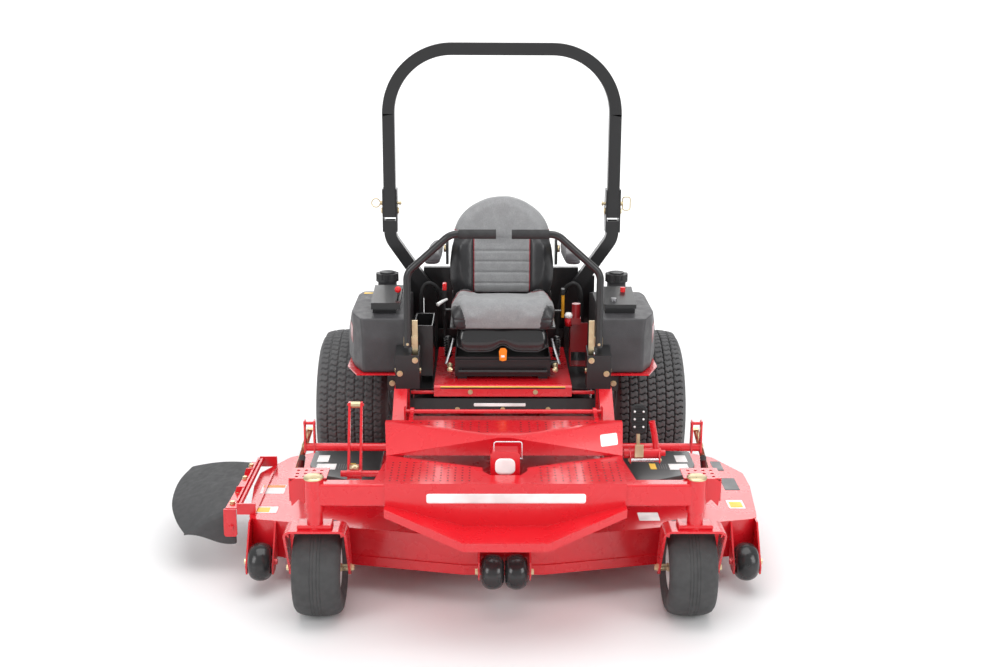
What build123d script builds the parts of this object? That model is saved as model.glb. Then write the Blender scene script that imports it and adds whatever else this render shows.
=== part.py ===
from build123d import *
import os
from math import cos, pi, sin

# Zero turn mower with a side-discharge deck.
# Modelling frame, in millimetres: X = 0 on the centre line with +X to the machine's left,
# Y = 0 at the rear axle with the machine facing -Y, Z = 0 on the ground.
# save() moves every shape by ORIGIN_SHIFT, so that the written origin is on the ground
# under the middle of the whole machine.

os.makedirs("parts", exist_ok=True)

# ---------------------------------------------------------------- driving dimensions
CHUTE_TIP_X = -1278        # outer edge of the rubber flap
DECK_HALF_WIDTH = 962
NOSE_FRONT_Y = -1582
GUARD_REAR_Y = 561
ORIGIN_SHIFT = (-(CHUTE_TIP_X + DECK_HALF_WIDTH) / 2, -(NOSE_FRONT_Y + GUARD_REAR_Y) / 2, 0)

DRIVE_TYRE_R = 330         # 26 x 12 - 12 tyre
DRIVE_TYRE_WIDTH = 305
DRIVE_TYRE_X = 632.5
RIM_R = 152

CASTER_R = 165             # 13 x 6.5 - 6 tyre
CASTER_WIDTH = 165
CASTER_RIM_R = 80
CASTER_X = 636
CASTER_AXLE_Y = -1320
SWIVEL_Y = -1410
SWIVEL_R = 20
FORK_TOP_Z = 372
RUNNING_GAP = 0.05         # radial clearance of every running fit

RAIL_INNER_X = 355
RAIL_OUTER_X = 415
RAIL_LOW_Z = 430
RAIL_TOP_Z = 490
BEAM_FRONT_Y = -1435
BEAM_REAR_Y = -1385
BEAM_LOW_Z = 438
BEAM_TOP_Z = 516

HOOP_X = 472.6             # centre of the roll bar's uprights
HOOP_Y = -25
HOOP_TUBE = 50.8
HOOP_TOP_Z = 1895
HOOP_CORNER_R = 265
HOOP_PIVOT_Z = 1198
HOOP_PIN_Z = 1230

DECK_LOW_Z = 100
DECK_TOP_Z = 240
DECK_SKIN = 6
SPINDLES = {"left": (600, -720), "centre": (0, -912), "right": (-600, -720)}
SPINDLE_R = 15
BLADE_LENGTH = 620
PULLEY_R = 86
PULLEY_Z = 290
CLUTCH_Y = 220
CLUTCH_R = 69

LEVER_X = 360
LEVER_Y = -750.5
LEVER_R = 14
LEVER_SWING_Z = 812
HUB_PIVOT_Y = -732
HUB_PIVOT_Z = 700

SEAT_HINGE_Y = -690
SEAT_HINGE_Z = 600
HINGE_ROD_R = 7
SEAT_DECK_Z = 631
SEAT_HALF = 222
BACK_HALF = 230
BACK_HINGE = (-215, 880)
BACK_TILT = 8
BACK_ROD_R = 6
ARM_PIVOT = (-165, 1062)

FOOT_ROD_Y = -900
FOOT_ROD_Z = 592
FOOT_ROD_R = 8

CHUTE_HINGE_X = -966
CHUTE_HINGE_Z = 262

FRONT_ROLLER_R = 61
FRONT_ROLLER_AT = (-1312, 144)
SIDE_ROLLER_R = 68
SIDE_ROLLER_AT = (-1162, 112)
SIDE_ROLLER_X = 872

TANK_LOW_Z = 677
CAP_AT = (468, -300)
THROTTLE_AT = (-547, 935)
TANK_TOP_Z = 946


# ---------------------------------------------------------------- helpers
def block(x0, x1, y0, y1, z0, z1):
    """A box between two corners."""
    centre = ((x0 + x1) / 2, (y0 + y1) / 2, (z0 + z1) / 2)
    return Pos(*centre) * Box(abs(x1 - x0), abs(y1 - y0), abs(z1 - z0))


def rod(start, end, radius):
    """A round bar from one point to another."""
    axis = Vector(*end) - Vector(*start)
    return extrude(Plane(origin=start, z_dir=axis) * Circle(radius), axis.length)


def pipe(start, end, outer, inner):
    """A round tube from one point to another."""
    axis = Vector(*end) - Vector(*start)
    ring = Circle(outer) - Circle(inner)
    return extrude(Plane(origin=start, z_dir=axis) * ring, axis.length)


def plan(points, z0, z1):
    """An outline in X and Y, raised from z0 to z1."""
    face = Pos(0, 0, z0) * make_face(Polyline(*points, close=True))
    return extrude(face, z1 - z0, dir=(0, 0, 1))


def side(points, x0, x1):
    """An outline in Y and Z, carried from x0 to x1."""
    frame = Plane(origin=(x0, 0, 0), x_dir=(0, 1, 0), z_dir=(1, 0, 0))
    return extrude(frame * make_face(Polyline(*points, close=True)), x1 - x0, dir=(1, 0, 0))


def front(points, y0, y1):
    """An outline in X and Z, carried from y0 to y1."""
    frame = Plane(origin=(0, y0, 0), x_dir=(1, 0, 0), z_dir=(0, -1, 0))
    return extrude(frame * make_face(Polyline(*points, close=True)), y1 - y0, dir=(0, 1, 0))


def sheet(corners, thickness, towards):
    """Sheet metal: the fan of triangles between the corners, thickened in one direction."""
    made = None
    for second, third in zip(corners[1:], corners[2:]):
        face = make_face(Polyline(corners[0], second, third, close=True))
        piece = extrude(face, thickness, dir=towards)
        made = piece if made is None else made + piece
    return made


def wheel(profile, y, z):
    """A turned solid on an axle along X; the profile holds (x, radius) points."""
    face = make_face(Polyline(*profile, close=True))
    return Pos(0, y, z) * revolve(face, Axis.X, 360)


def bent_tube(points, radii, section):
    """A tube of one section along straight runs and arcs."""
    path = FilletPolyline(*points, radius=radii)
    frame = Plane(origin=points[0], z_dir=path % 0)
    return sweep(frame * section, path=path)


def this_side(shape):
    return shape


def other_side(shape):
    return mirror(shape, about=Plane.YZ)


def pieces(*shapes):
    """Every solid of the given shapes, as one flat list."""
    return [solid for shape in shapes for solid in shape.solids()]


def pair(*shapes):
    """The shapes and their mirror images."""
    return pieces(*shapes) + pieces(*[other_side(s) for s in shapes])


def save(node, solids):
    """Write one node, moved so that the origin is under the machine's middle."""
    made = solids if isinstance(solids, list) else pieces(solids)
    group = Compound(children=[s.moved(Location(ORIGIN_SHIFT)) for s in made])
    export_step(group, f"parts/{node}.step")


def bolt(at, axis, radius=6, head=6):
    """A hexagon-headed bolt's head with its washer, standing on a face."""
    frame = Plane(origin=at, z_dir=axis)
    washer = extrude(frame * Circle(radius * 1.9), 2)
    head_start = frame.offset(2)
    return washer + extrude(head_start * RegularPolygon(radius * 1.6, 6), head)


# ---------------------------------------------------------------- chassis
def step_bracket():
    """The perforated bracket behind and outside the left caster tube."""
    wall = 4
    outline = [(664, 424), (690, 448), (714, 424), (722, 510), (700, 522), (664, 522)]
    face = front(outline, -1396, -1392)
    flank = block(718, 722, -1392, -1296, 440, 518)
    top = block(596, 722, -1392, -1296, 518, 518 + wall)
    for column in range(4):
        for row in range(3):
            hole = Pos(620 + 26 * column, -1376 + 28 * row, 520) * Cylinder(6, 3 * wall)
            top -= hole
    return face + flank + top


def caster_arm():
    """The left arm, its swivel tube and its step bracket."""
    bore = rod((CASTER_X, SWIVEL_Y, 380), (CASTER_X, SWIVEL_Y, 560), SWIVEL_R)
    tube = rod((CASTER_X, SWIVEL_Y, 415), (CASTER_X, SWIVEL_Y, 529), 32)
    arm = block(398, CASTER_X, BEAM_FRONT_Y, BEAM_REAR_Y, BEAM_LOW_Z, BEAM_TOP_Z)
    arm = fillet(arm.edges().filter_by(Axis.X), 8)
    gusset = plan([(398, -1386), (440, -1386), (414, -1180), (398, -1180)], 505, 510)
    return arm + tube + step_bracket() + gusset - bore


def lift_bracket():
    """The left cross bar with two ears, from which the deck's link hangs."""
    bar = rod((RAIL_OUTER_X, -885, 447), (735, -885, 447), 15)
    ear_outline = [(-905, 430), (-865, 430), (-873, 552), (-897, 552)]
    ears = side(ear_outline, 700, 706) + side(ear_outline, 735, 741)
    pin = rod((698, -885, 541), (743, -885, 541), 6)
    return bar + ears + pin


def rail():
    """The left rail with its strut, its axle plate and the footplate rod's ear."""
    beam = block(RAIL_INNER_X, RAIL_OUTER_X, BEAM_REAR_Y, 470, RAIL_LOW_Z, RAIL_TOP_Z)
    beam = fillet(beam.edges().filter_by(Axis.Y), 7)
    strut = side([(-1004, 488), (-925, 488), (-716, 640), (-775, 640)], 362, 412)
    axle_plate = block(405, RAIL_OUTER_X, -100, 100, 240, RAIL_LOW_Z + 8)
    ear = side([(-925, 484), (-880, 484), (-886, 608), (-914, 608)], 361, 367)
    return beam + strut + axle_plate + ear


def main_frame():
    """The welded frame, and the two lift brackets that are bolted to its rails."""
    left = rail() + caster_arm()
    frame = left + other_side(left)
    frame += block(-400, 400, -1431, BEAM_REAR_Y, BEAM_LOW_Z, 505)
    for y0, y1 in ((-650, -610), (-60, -4), (424, 470)):
        frame += block(-RAIL_INNER_X - 2, RAIL_INNER_X + 2, y0, y1, RAIL_LOW_Z, RAIL_TOP_Z)
    frame += rod((-364, FOOT_ROD_Y, FOOT_ROD_Z), (364, FOOT_ROD_Y, FOOT_ROD_Z), FOOT_ROD_R)
    frame += block(-46, 46, BEAM_REAR_Y - 2, -1245, 486, 492)
    frame += rod((-RAIL_OUTER_X + 4, -1190, 460), (-572, -1190, 460), 11)
    frame += rod((RAIL_OUTER_X - 4, -1010, 470), (588, -1010, 470), 11)
    engine_plate = block(-RAIL_INNER_X - 2, RAIL_INNER_X + 2, 2, 428, RAIL_TOP_Z, 497)
    engine_plate -= Pos(0, CLUTCH_Y, 494) * Cylinder(45, 20)
    hitch = plan([(-60, 466), (60, 466), (44, 548), (-44, 548)], 446, 454)
    hitch -= Pos(0, 522, 450) * Cylinder(9.5, 20)
    save("main_frame", pieces(frame + engine_plate + hitch) + pair(lift_bracket()))


def front_nose():
    """The bent sheet over the front beam, with its step and turned-down lip."""
    skin = 5
    lip = 30
    top_z = 521
    face_y = -1440
    half = 400
    step_half = 138
    step_z = 372
    wing_z = 446
    wing_y = face_y - 36
    inner_y = face_y + skin
    edge = [(414, -1170), (76, -1291), (76, -1323), (50, -1362)]
    outline = [(-half, face_y), (half, face_y)] + edge + [(-x, y) for x, y in reversed(edge)]
    top = plan(outline, top_z - skin, top_z)
    for x in range(120, 391, 24):
        for y in range(-1412, -1230, 24):
            if y < -1150 - 0.36 * (414 - x) - 30:
                for at in (x, -x):
                    top -= Pos(at, y, top_z) * Cylinder(3, 14)
    face = front([(-half, top_z), (-half, wing_z), (-step_half, step_z), (step_half, step_z),
                  (half, wing_z), (half, top_z)], face_y, inner_y)
    step = block(-step_half, step_half, NOSE_FRONT_Y, inner_y, step_z - skin, step_z)
    front_lip = block(-step_half, step_half, NOSE_FRONT_Y, NOSE_FRONT_Y + skin, step_z - lip, step_z)
    wing = sheet([(step_half, inner_y, step_z), (step_half, NOSE_FRONT_Y, step_z),
                  (half, wing_y, wing_z), (half, inner_y, wing_z)], skin, (0, 0, -1))
    wing_lip = sheet([(step_half, NOSE_FRONT_Y, step_z), (half, wing_y, wing_z),
                      (half, wing_y, wing_z - lip), (step_half, NOSE_FRONT_Y, step_z - lip)],
                     skin, (0, 1, 0))
    wing = wing + wing_lip
    save("front_nose", top + face + step + front_lip + wing + other_side(wing))


def footplate():
    """The hinged floor: a V-edged top and two facets down to a straight front edge."""
    skin = 4
    top_z, low_z = 590, 521
    rear_y, low_y = -994, -1174
    half, low_half = 428, 414
    tip = (20, -1181)
    corner_y = -1026
    top = plan([(-half, rear_y), (half, rear_y), (half, corner_y), tip, (-tip[0], tip[1]),
                (-half, corner_y)], top_z - skin, top_z)
    for x in range(60, 331, 30):
        for y in range(-1140, -1010, 24):
            if y > -1158 + 0.38 * x:
                for at in (x, -x):
                    top -= Pos(at, y, top_z) * Cylinder(3, 12)
    facet = sheet([(tip[0], tip[1], top_z), (half, corner_y, top_z), (low_half, low_y, low_z),
                   (tip[0], low_y, low_z)], skin, (0, 1, 0))
    middle = sheet([(-tip[0], tip[1], top_z), (tip[0], tip[1], top_z), (tip[0], low_y, low_z),
                    (-tip[0], low_y, low_z)], skin, (0, 1, 0))
    cheek = sheet([(half, rear_y, top_z), (half, corner_y, top_z), (low_half, low_y, low_z),
                   (half, rear_y, low_z)], skin, (-1, 0, 0))
    arm = block(330, 344, FOOT_ROD_Y - 10, rear_y, top_z - 14, top_z - 6 + 14)
    eye = rod((330, FOOT_ROD_Y, FOOT_ROD_Z), (344, FOOT_ROD_Y, FOOT_ROD_Z), 15)
    hole = rod((320, FOOT_ROD_Y, FOOT_ROD_Z), (354, FOOT_ROD_Y, FOOT_ROD_Z), FOOT_ROD_R + RUNNING_GAP)
    half_set = facet + cheek + arm + eye - hole
    save("footplate", top + middle + half_set + other_side(half_set))


def footplate_catch():
    """The upright housing in the nose's notch, with its wire bail."""
    outline = [(-44, 492), (44, 492), (50, 502), (50, 578), (42, 590), (-42, 590), (-50, 578), (-50, 502)]
    housing = front(outline, -1322, -1268)
    route = [(-38, -1300, 590), (-38, -1300, 617), (57, -1300, 617), (57, -1300, 560)]
    bail = bent_tube(route, [9, 9], Circle(2.5))
    clip = rod((50, -1300, 557.5), (59.5, -1300, 557.5), 2.5)
    save("footplate_catch", pieces(housing, bail, clip))


# ---------------------------------------------------------------- controls
def lever_tower():
    """The left lever tower: two side plates, a front, a slotted top and its outer tab."""
    tower = side([(-775, 640), (-695, 640), (-695, 790), (-775, 771)], 316, 407)
    tower -= side([(-771, 644), (-690, 644), (-690, 786), (-771, 766)], 320, 403)
    tower -= block(321, 346, -771, -694, 750, 800)
    tower -= rod((300, HUB_PIVOT_Y, HUB_PIVOT_Z), (420, HUB_PIVOT_Y, HUB_PIVOT_Z), 11 + RUNNING_GAP)
    return tower + block(407, 443, -703, -699, 610, 668) + block(403, 408, -703, -695, 610, 668)


def lever_towers():
    """Both towers, with the black panel between them, its cheeks and the floor beside the seat."""
    panel = block(-354, 354, -700, -696, 522, 578) + block(-354, 354, -700, -650, 522, 526)
    cheek = side([(-702, 640), (-560, 640), (-560, RAIL_TOP_Z), (-702, RAIL_TOP_Z)], 354, 358)
    hinge = (SEAT_HINGE_Y, SEAT_HINGE_Z)
    cheek -= rod((340, *hinge), (370, *hinge), HINGE_ROD_R + RUNNING_GAP)
    floor = block(268, 354, -676, -110, 606, 610)
    bolts = [bolt((x, -700, 534), (0, -1, 0), 5, 5) for x in (-175, 0, 175)]
    save("lever_towers", pieces(panel, *bolts) + pair(cheek, floor, lever_tower()))


def lever_hub():
    """The left hub: a cross shaft in the tower, its upright bar and the swing pin."""
    shaft = rod((312, HUB_PIVOT_Y, HUB_PIVOT_Z), (411, HUB_PIVOT_Y, HUB_PIVOT_Z), 11)
    bar = block(323, 344, -736, -728, HUB_PIVOT_Z, 896)
    lug = block(343, 376, -736, -728, 797, 832)
    pin = rod((LEVER_X, -730, LEVER_SWING_Z), (LEVER_X, -768, LEVER_SWING_Z), 5)
    return shaft + bar + lug + pin


def steering_lever():
    """The left lever: a bent tube with a foam grip over its inner end."""
    route = [(LEVER_X, LEVER_Y, 797), (LEVER_X, LEVER_Y, 1082), (196, LEVER_Y, 1229), (34, LEVER_Y, 1229)]
    tube = bent_tube(route, [60, 70], Circle(LEVER_R))
    tube -= rod((LEVER_X, -700, LEVER_SWING_Z), (LEVER_X, -800, LEVER_SWING_Z), 5 + RUNNING_GAP)
    grip = pipe((32, LEVER_Y, 1229), (166, LEVER_Y, 1229), 17.5, LEVER_R)
    grip = grip + rod((29, LEVER_Y, 1229), (34, LEVER_Y, 1229), 17.5)
    return pieces(tube, grip)


def brake_pedal():
    """The ribbed pad with its studs, on a sleeve that turns on the frame's shaft."""
    y, z = -1010, 470
    pad = side([(-1004, 540), (-992, 540), (-978, 648), (-990, 652)], 458, 522)
    pad = fillet(pad.edges().filter_by(Axis.Y, reverse=True).sort_by(Axis.Z)[-4:-2], 3)
    studs = None
    for x in (474, 506):
        for height in (568, 596, 624):
            face_y = -1002 + 0.13 * (height - 540)
            stud = rod((x, face_y, height), (x, face_y - 5, height), 4)
            studs = stud if studs is None else studs + stud
    arm = side([(y - 10, z), (y + 10, z), (-986, 560), (-998, 560)], 484, 494)
    sleeve = rod((436, y, z), (572, y, z), 19) - rod((430, y, z), (580, y, z), 11 + RUNNING_GAP)
    handle = rod((556, y + 4, z + 14), (536, y + 12, 590), 12)
    bracket = block(470, 508, y - 30, y - 19, z - 14, z + 30)
    hole = rod((430, y, z), (580, y, z), 11 + RUNNING_GAP)
    save("brake_pedal", (pad + studs + arm + sleeve + handle + bracket) - hole)


def deck_lift_pedal():
    """Two bars from the frame's shaft up to a wooden-coloured foot roller."""
    y, z = -1190, 460
    bar = [(y - 16, z - 16), (y + 16, z - 16), (-1088, 692), (-1106, 692)]
    bars = side(bar, -549, -541) + side(bar, -507, -499)
    hub = rod((-549, y, z), (-499, y, z), 18)
    hole = rod((-560, y, z), (-490, y, z), 11 + RUNNING_GAP)
    axle = rod((-553, -1097, 682), (-495, -1097, 682), 5)
    roller = pipe((-540.5, -1097, 682), (-507.5, -1097, 682), 12, 5)
    save("deck_lift_pedal", pieces((bars + hub + axle) - hole, roller))


def tank_top_z(y):
    """The tanks' top rises from the front and is level behind the caps' front edge."""
    return min(895 + 0.176 * (y + 690), TANK_TOP_Z)


def control_consoles():
    """The raised boxes on the tanks, the open storage box, the switch plate and the slots."""
    left = side([(-600, tank_top_z(-600)), (-420, tank_top_z(-420)), (-420, tank_top_z(-420) + 16),
                 (-600, tank_top_z(-600) + 16)], 392, 516)
    right = side([(-612, tank_top_z(-612)), (-420, tank_top_z(-420)), (-420, tank_top_z(-420) + 20),
                  (-612, tank_top_z(-612) + 26)], -508, -396)
    right -= block(-412, -404, -594, -500, 800, 1000)
    box = block(-345, -272, -600, -400, 640, 842) - block(-341, -276, -596, -404, 660, 850)
    button = rod((476, -470, 948), (476, -470, 966), 10)
    key = rod((432, -560, 930), (432, -560, 944), 11)
    save("control_consoles", pieces(left + button + key, right, box))


def throttle_lever():
    """The lever in the right console's slot, with its knob."""
    hub = rod((-411.5, THROTTLE_AT[0], THROTTLE_AT[1]), (-404.5, THROTTLE_AT[0], THROTTLE_AT[1]), 7)
    y, z = THROTTLE_AT
    stalk = side([(y - 5, z), (y + 5, z), (y + 5, z + 30), (y - 5, z + 30)], -410, -406)
    knob = Pos(-408, y, z + 38) * Sphere(13)
    save("throttle_lever", stalk + hub + knob)


# ---------------------------------------------------------------- fuel tanks
def fuel_tank():
    """The left tank: a moulded box over the drive wheel, notched round the roll bar's leg."""
    outline = plan([(356, -690), (536, -690), (590, -600), (640, -420), (640, 120), (600, 160),
                    (410, 160), (410, -78), (374, -100), (374, -640)], TANK_LOW_Z, 1000)
    profile = side([(-690, TANK_LOW_Z), (-700, 776), (-672, 895), (-400, TANK_TOP_Z), (160, TANK_TOP_Z),
                    (160, 720), (120, TANK_LOW_Z)], 300, 700)
    lean = front([(340, TANK_LOW_Z), (640, TANK_LOW_Z), (632, 800), (600, 900), (570, 960), (340, 960)],
                 -720, 200)
    tank = outline & profile & lean
    tank = fillet(tank.edges().filter_by(GeomType.LINE).group_by(Axis.Z)[-1], 16)
    neck = rod((CAP_AT[0], CAP_AT[1], TANK_TOP_Z - 2), (CAP_AT[0], CAP_AT[1], TANK_TOP_Z + 8), 40)
    return tank + neck


def fuel_cap():
    """A lobed cap; its grip is a disc with notches all round."""
    cap = Pos(CAP_AT[0], CAP_AT[1], TANK_TOP_Z + 8.4 + 16) * Cylinder(46, 32)
    top = Pos(CAP_AT[0], CAP_AT[1], TANK_TOP_Z + 42) * Cylinder(30, 8)
    for step in range(10):
        angle = step * pi / 5
        x, y = CAP_AT[0] + 50 * cos(angle), CAP_AT[1] + 50 * sin(angle)
        cap -= Pos(x, y, TANK_TOP_Z + 30) * Cylinder(8, 24)
    return cap + top


def tank_brackets():
    """The red shelves under the tanks, and the relay bracket by the seat."""
    shelf = plan([(359, -706), (560, -706), (606, -590), (604, -420), (359, -420)], 672, TANK_LOW_Z)
    shelf -= block(300, 408, -800, -694, 600, 700)
    post = block(362, 400, -470, -430, RAIL_TOP_Z, 672)
    tray = block(272, 340, -470, -466, 700, 820) + block(272, 276, -470, -400, 640, 820)
    lamp = rod((292, -480, 846), (292, -480, 902), 17)
    foot = block(272, 310, -497, -464, 820, 846)
    plate = block(272, 354, -470, -400, 640, 644)
    save("tank_brackets", pair(shelf + post) + pieces(tray + foot + plate + lamp))


# ---------------------------------------------------------------- seat
def seat_deck():
    """The tilting seat platform on its hinge rod, with the two slide rails on it."""
    deck = side([(-706, 588), (-702, 588), (-702, 625), (-696, 627), (-150, 627), (-150, 631),
                 (-698, 631), (-706, 624)], -265, 265)
    flank = block(-265, -261, -690, -150, 606, 631)
    strip = block(-255, 255, -692, -672, SEAT_DECK_Z, SEAT_DECK_Z + 1.5)
    rails = block(140, 176, -610, -180, SEAT_DECK_Z, SEAT_DECK_Z + 12)
    bolts = [bolt((x, -706, 606), (0, -1, 0), 5, 5) for x in (-125, 125)]
    hinge = rod((-360, SEAT_HINGE_Y, SEAT_HINGE_Z), (360, SEAT_HINGE_Y, SEAT_HINGE_Z), HINGE_ROD_R)
    body = deck + flank + other_side(flank) + hinge
    save("seat_deck", pieces(body, strip, rails, other_side(rails), *bolts))


def seat_slide():
    """The suspension's lower tray on its runners."""
    low = SEAT_DECK_Z + 12.3
    tray = block(-186, 186, -620, -200, low, 722) - block(-182, 182, -616, -204, low + 8, 730)
    tray -= block(-182, 182, -222, -190, 668, 730)
    lip = block(-186, 186, -628, -616, 708, 712)
    bar = rod((-172, -640, 668), (172, -640, 668), 6)
    ends = block(-172, -160, -642, -619, 662, 674)
    knob = rod((186, -560, 676), (214, -560, 676), 16)
    save("seat_slide", tray + lip + bar + ends + other_side(ends) + knob)


def seat_pan():
    """The suspended pan with its skirt, and the belt's stalk, buckle and reel."""
    skirt = side([(-602, 738), (-596, 736), (-222, 736), (-222, 838), (-614, 838), (-612, 800)], -172, 172)
    skirt -= side([(-590, 730), (-230, 730), (-230, 826), (-590, 826)], -164, 164)
    flange = block(-206, 206, -606, -222, 828, 838)
    stalk = block(234, 240, -330, -300, 800, 905) + block(206, 240, -330, -300, 828, 838)
    buckle = block(230, 246, -338, -292, 905, 955)
    reel = block(-250, -228, -330, -270, 812, 880) + block(-240, -205, -330, -300, 828, 838)
    tag = block(-9, 9, -621, -614.3, 765, 800)
    ear = side([(-229, 828), (-201, 828), (-201, 880), (-208, 892), (-222, 892), (-229, 880)], 200, 206)
    ear -= rod((190, *BACK_HINGE), (216, *BACK_HINGE), BACK_ROD_R + RUNNING_GAP)
    body = skirt + flange + stalk + ear + other_side(ear)
    save("seat_pan", pieces(body + buckle + reel, tag))


def seat_cushion():
    """The bottom cushion as one plain padded form."""
    cushion = side([(-640, 850), (-628, 838.3), (-232, 838.3), (-232, 886), (-420, 908), (-560, 944),
                    (-612, 944), (-640, 920)], -SEAT_HALF, SEAT_HALF)
    cushion = fillet(cushion.edges().filter_by(Axis.X, reverse=True), 14)
    save("seat_cushion", cushion)


def seat_back():
    """The back cushion with its round head, its recline rod and the armrests' brackets."""
    form = front([(-BACK_HALF, 902), (BACK_HALF, 902), (BACK_HALF, 1110), (-BACK_HALF, 1110)], -222, -108)
    plane = Plane(origin=(0, -222, 1110), x_dir=(1, 0, 0), z_dir=(0, -1, 0))
    dome = extrude(plane * Ellipse(BACK_HALF, 184), 114, dir=(0, 1, 0))
    back = form + dome
    back = fillet(back.edges().sort_by(Axis.Y)[-6:], 20)
    back += rod((-210, *BACK_HINGE), (210, *BACK_HINGE), BACK_ROD_R)
    back += block(150, 162, -221, -209, 880, 910) + block(-162, -150, -221, -209, 880, 910)
    hinge = Pos(0, BACK_HINGE[0], BACK_HINGE[1])
    back = hinge * Rot(-BACK_TILT, 0, 0) * hinge.inverse() * back
    ear = side([(-195, 1040), (-135, 1040), (-135, 1084), (-195, 1084)], 226, 240)
    stub = rod((238, ARM_PIVOT[0], ARM_PIVOT[1]), (262, ARM_PIVOT[0], ARM_PIVOT[1]), 9)
    save("seat_back", pieces(back + ear + stub + other_side(ear + stub)))


def armrest():
    """The left armrest pad on its pivot boss."""
    pad = side([(-482, 1066), (-470, 1046), (-200, 1030), (-140, 1030), (-130, 1094), (-200, 1102),
                (-466, 1108), (-482, 1096)], 242, 318)
    pad = fillet(pad.edges().filter_by(Axis.X, reverse=True), 9)
    return pad - rod((230, ARM_PIVOT[0], ARM_PIVOT[1]), (264, ARM_PIVOT[0], ARM_PIVOT[1]), 9 + RUNNING_GAP)


# ---------------------------------------------------------------- roll bar
def square_tube(size, wall):
    return Rectangle(size, size) - Rectangle(size - 2 * wall, size - 2 * wall)


def rops_base():
    """The two lower legs and the slotted plates that the hoop folds between."""
    route = [(HOOP_X, HOOP_Y, 1158), (HOOP_X, HOOP_Y, 1085), (300, HOOP_Y, 835), (300, HOOP_Y, RAIL_TOP_Z)]
    leg = bent_tube(route, [90, 90], square_tube(HOOP_TUBE, 5))
    half = HOOP_TUBE / 2
    outline = [(-52, 1110), (2, 1110), (26, 1170), (26, 1240), (8, 1292), (-52, 1292)]
    plate = side(outline, HOOP_X + half + 0.2, HOOP_X + half + 6)
    plate += side(outline, HOOP_X - half - 6, HOOP_X - half - 0.2)
    weld = block(HOOP_X - half - 3, HOOP_X + half + 3, HOOP_Y - half, HOOP_Y + half, 1112, 1150)
    weld -= block(HOOP_X - half, HOOP_X + half, HOOP_Y - half - 1, HOOP_Y + half + 1, 1100, 1160)
    inner_x, outer_x = HOOP_X - 60, HOOP_X + 60
    bolt_hole = rod((inner_x, HOOP_Y, HOOP_PIVOT_Z), (outer_x, HOOP_Y, HOOP_PIVOT_Z), 8 + RUNNING_GAP)
    arc_r = HOOP_PIN_Z - HOOP_PIVOT_Z
    slot_ring = Circle(arc_r + 7) - Circle(arc_r - 7)
    slot = extrude(Plane(origin=(inner_x, HOOP_Y, HOOP_PIVOT_Z), z_dir=(1, 0, 0)) * slot_ring, 120)
    keep = block(inner_x, outer_x, HOOP_Y - 7, HOOP_Y + 60, HOOP_PIVOT_Z - 22, HOOP_PIVOT_Z + 60)
    foot = block(262, 338, HOOP_Y - 35, HOOP_Y + 21, RAIL_TOP_Z, RAIL_TOP_Z + 8)
    brace = block(-276, 276, HOOP_Y - 10, HOOP_Y + 10, 640, 680)
    left = leg + (plate - (slot & keep)) + weld + foot
    whole = left + other_side(left) + brace
    save("rops_base", whole - bolt_hole - other_side(bolt_hole))


def rops_hoop():
    """The folding hoop and its two pivot bolts."""
    low = HOOP_PIVOT_Z - 26
    top = HOOP_TOP_Z - HOOP_TUBE / 2
    route = [(-HOOP_X, HOOP_Y, low), (-HOOP_X, HOOP_Y, top), (HOOP_X, HOOP_Y, top), (HOOP_X, HOOP_Y, low)]
    hoop = bent_tube(route, [HOOP_CORNER_R, HOOP_CORNER_R], square_tube(HOOP_TUBE, 5))
    half = HOOP_TUBE / 2
    pivot = rod((HOOP_X - half - 8, HOOP_Y, HOOP_PIVOT_Z), (HOOP_X + half + 8, HOOP_Y, HOOP_PIVOT_Z), 8)
    heads = bolt((HOOP_X + half + 6.3, HOOP_Y, HOOP_PIVOT_Z), (1, 0, 0), 8, 4)
    heads += bolt((HOOP_X - half - 6.3, HOOP_Y, HOOP_PIVOT_Z), (-1, 0, 0), 8, 4)
    pin_hole = rod((HOOP_X - 60, HOOP_Y, HOOP_PIN_Z), (HOOP_X + 60, HOOP_Y, HOOP_PIN_Z), 6)
    whole = hoop + pivot + heads + other_side(pivot + heads)
    save("rops_hoop", whole - pin_hole - other_side(pin_hole))


def rops_lock_pins():
    """The two lock pins with their wire loops and spring clips."""
    pin = rod((HOOP_X - 48, HOOP_Y, HOOP_PIN_Z), (HOOP_X + 44, HOOP_Y, HOOP_PIN_Z), 6)
    collar = rod((HOOP_X + 32, HOOP_Y, HOOP_PIN_Z), (HOOP_X + 40, HOOP_Y, HOOP_PIN_Z), 9)
    tall = [(HOOP_X + 42, HOOP_Y, HOOP_PIN_Z + 4), (HOOP_X + 42, HOOP_Y, HOOP_PIN_Z + 28),
            (HOOP_X + 74, HOOP_Y, HOOP_PIN_Z + 28), (HOOP_X + 74, HOOP_Y, HOOP_PIN_Z - 28),
            (HOOP_X + 42, HOOP_Y, HOOP_PIN_Z - 28), (HOOP_X + 42, HOOP_Y, HOOP_PIN_Z - 4)]
    loop = bent_tube(tall, [10, 10, 10, 10], Circle(2.5))
    clip = pipe((HOOP_X - 44, HOOP_Y - 3, HOOP_PIN_Z), (HOOP_X - 41, HOOP_Y - 3, HOOP_PIN_Z), 12, 9)
    small = Pos(HOOP_X + 60, HOOP_Y, HOOP_PIN_Z) * Rot(90, 0, 0) * Torus(18, 2.5)
    left = pin + collar + loop + clip
    right = pin + collar + small + clip
    save("rops_lock_pins", pieces(left, other_side(right)))


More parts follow.
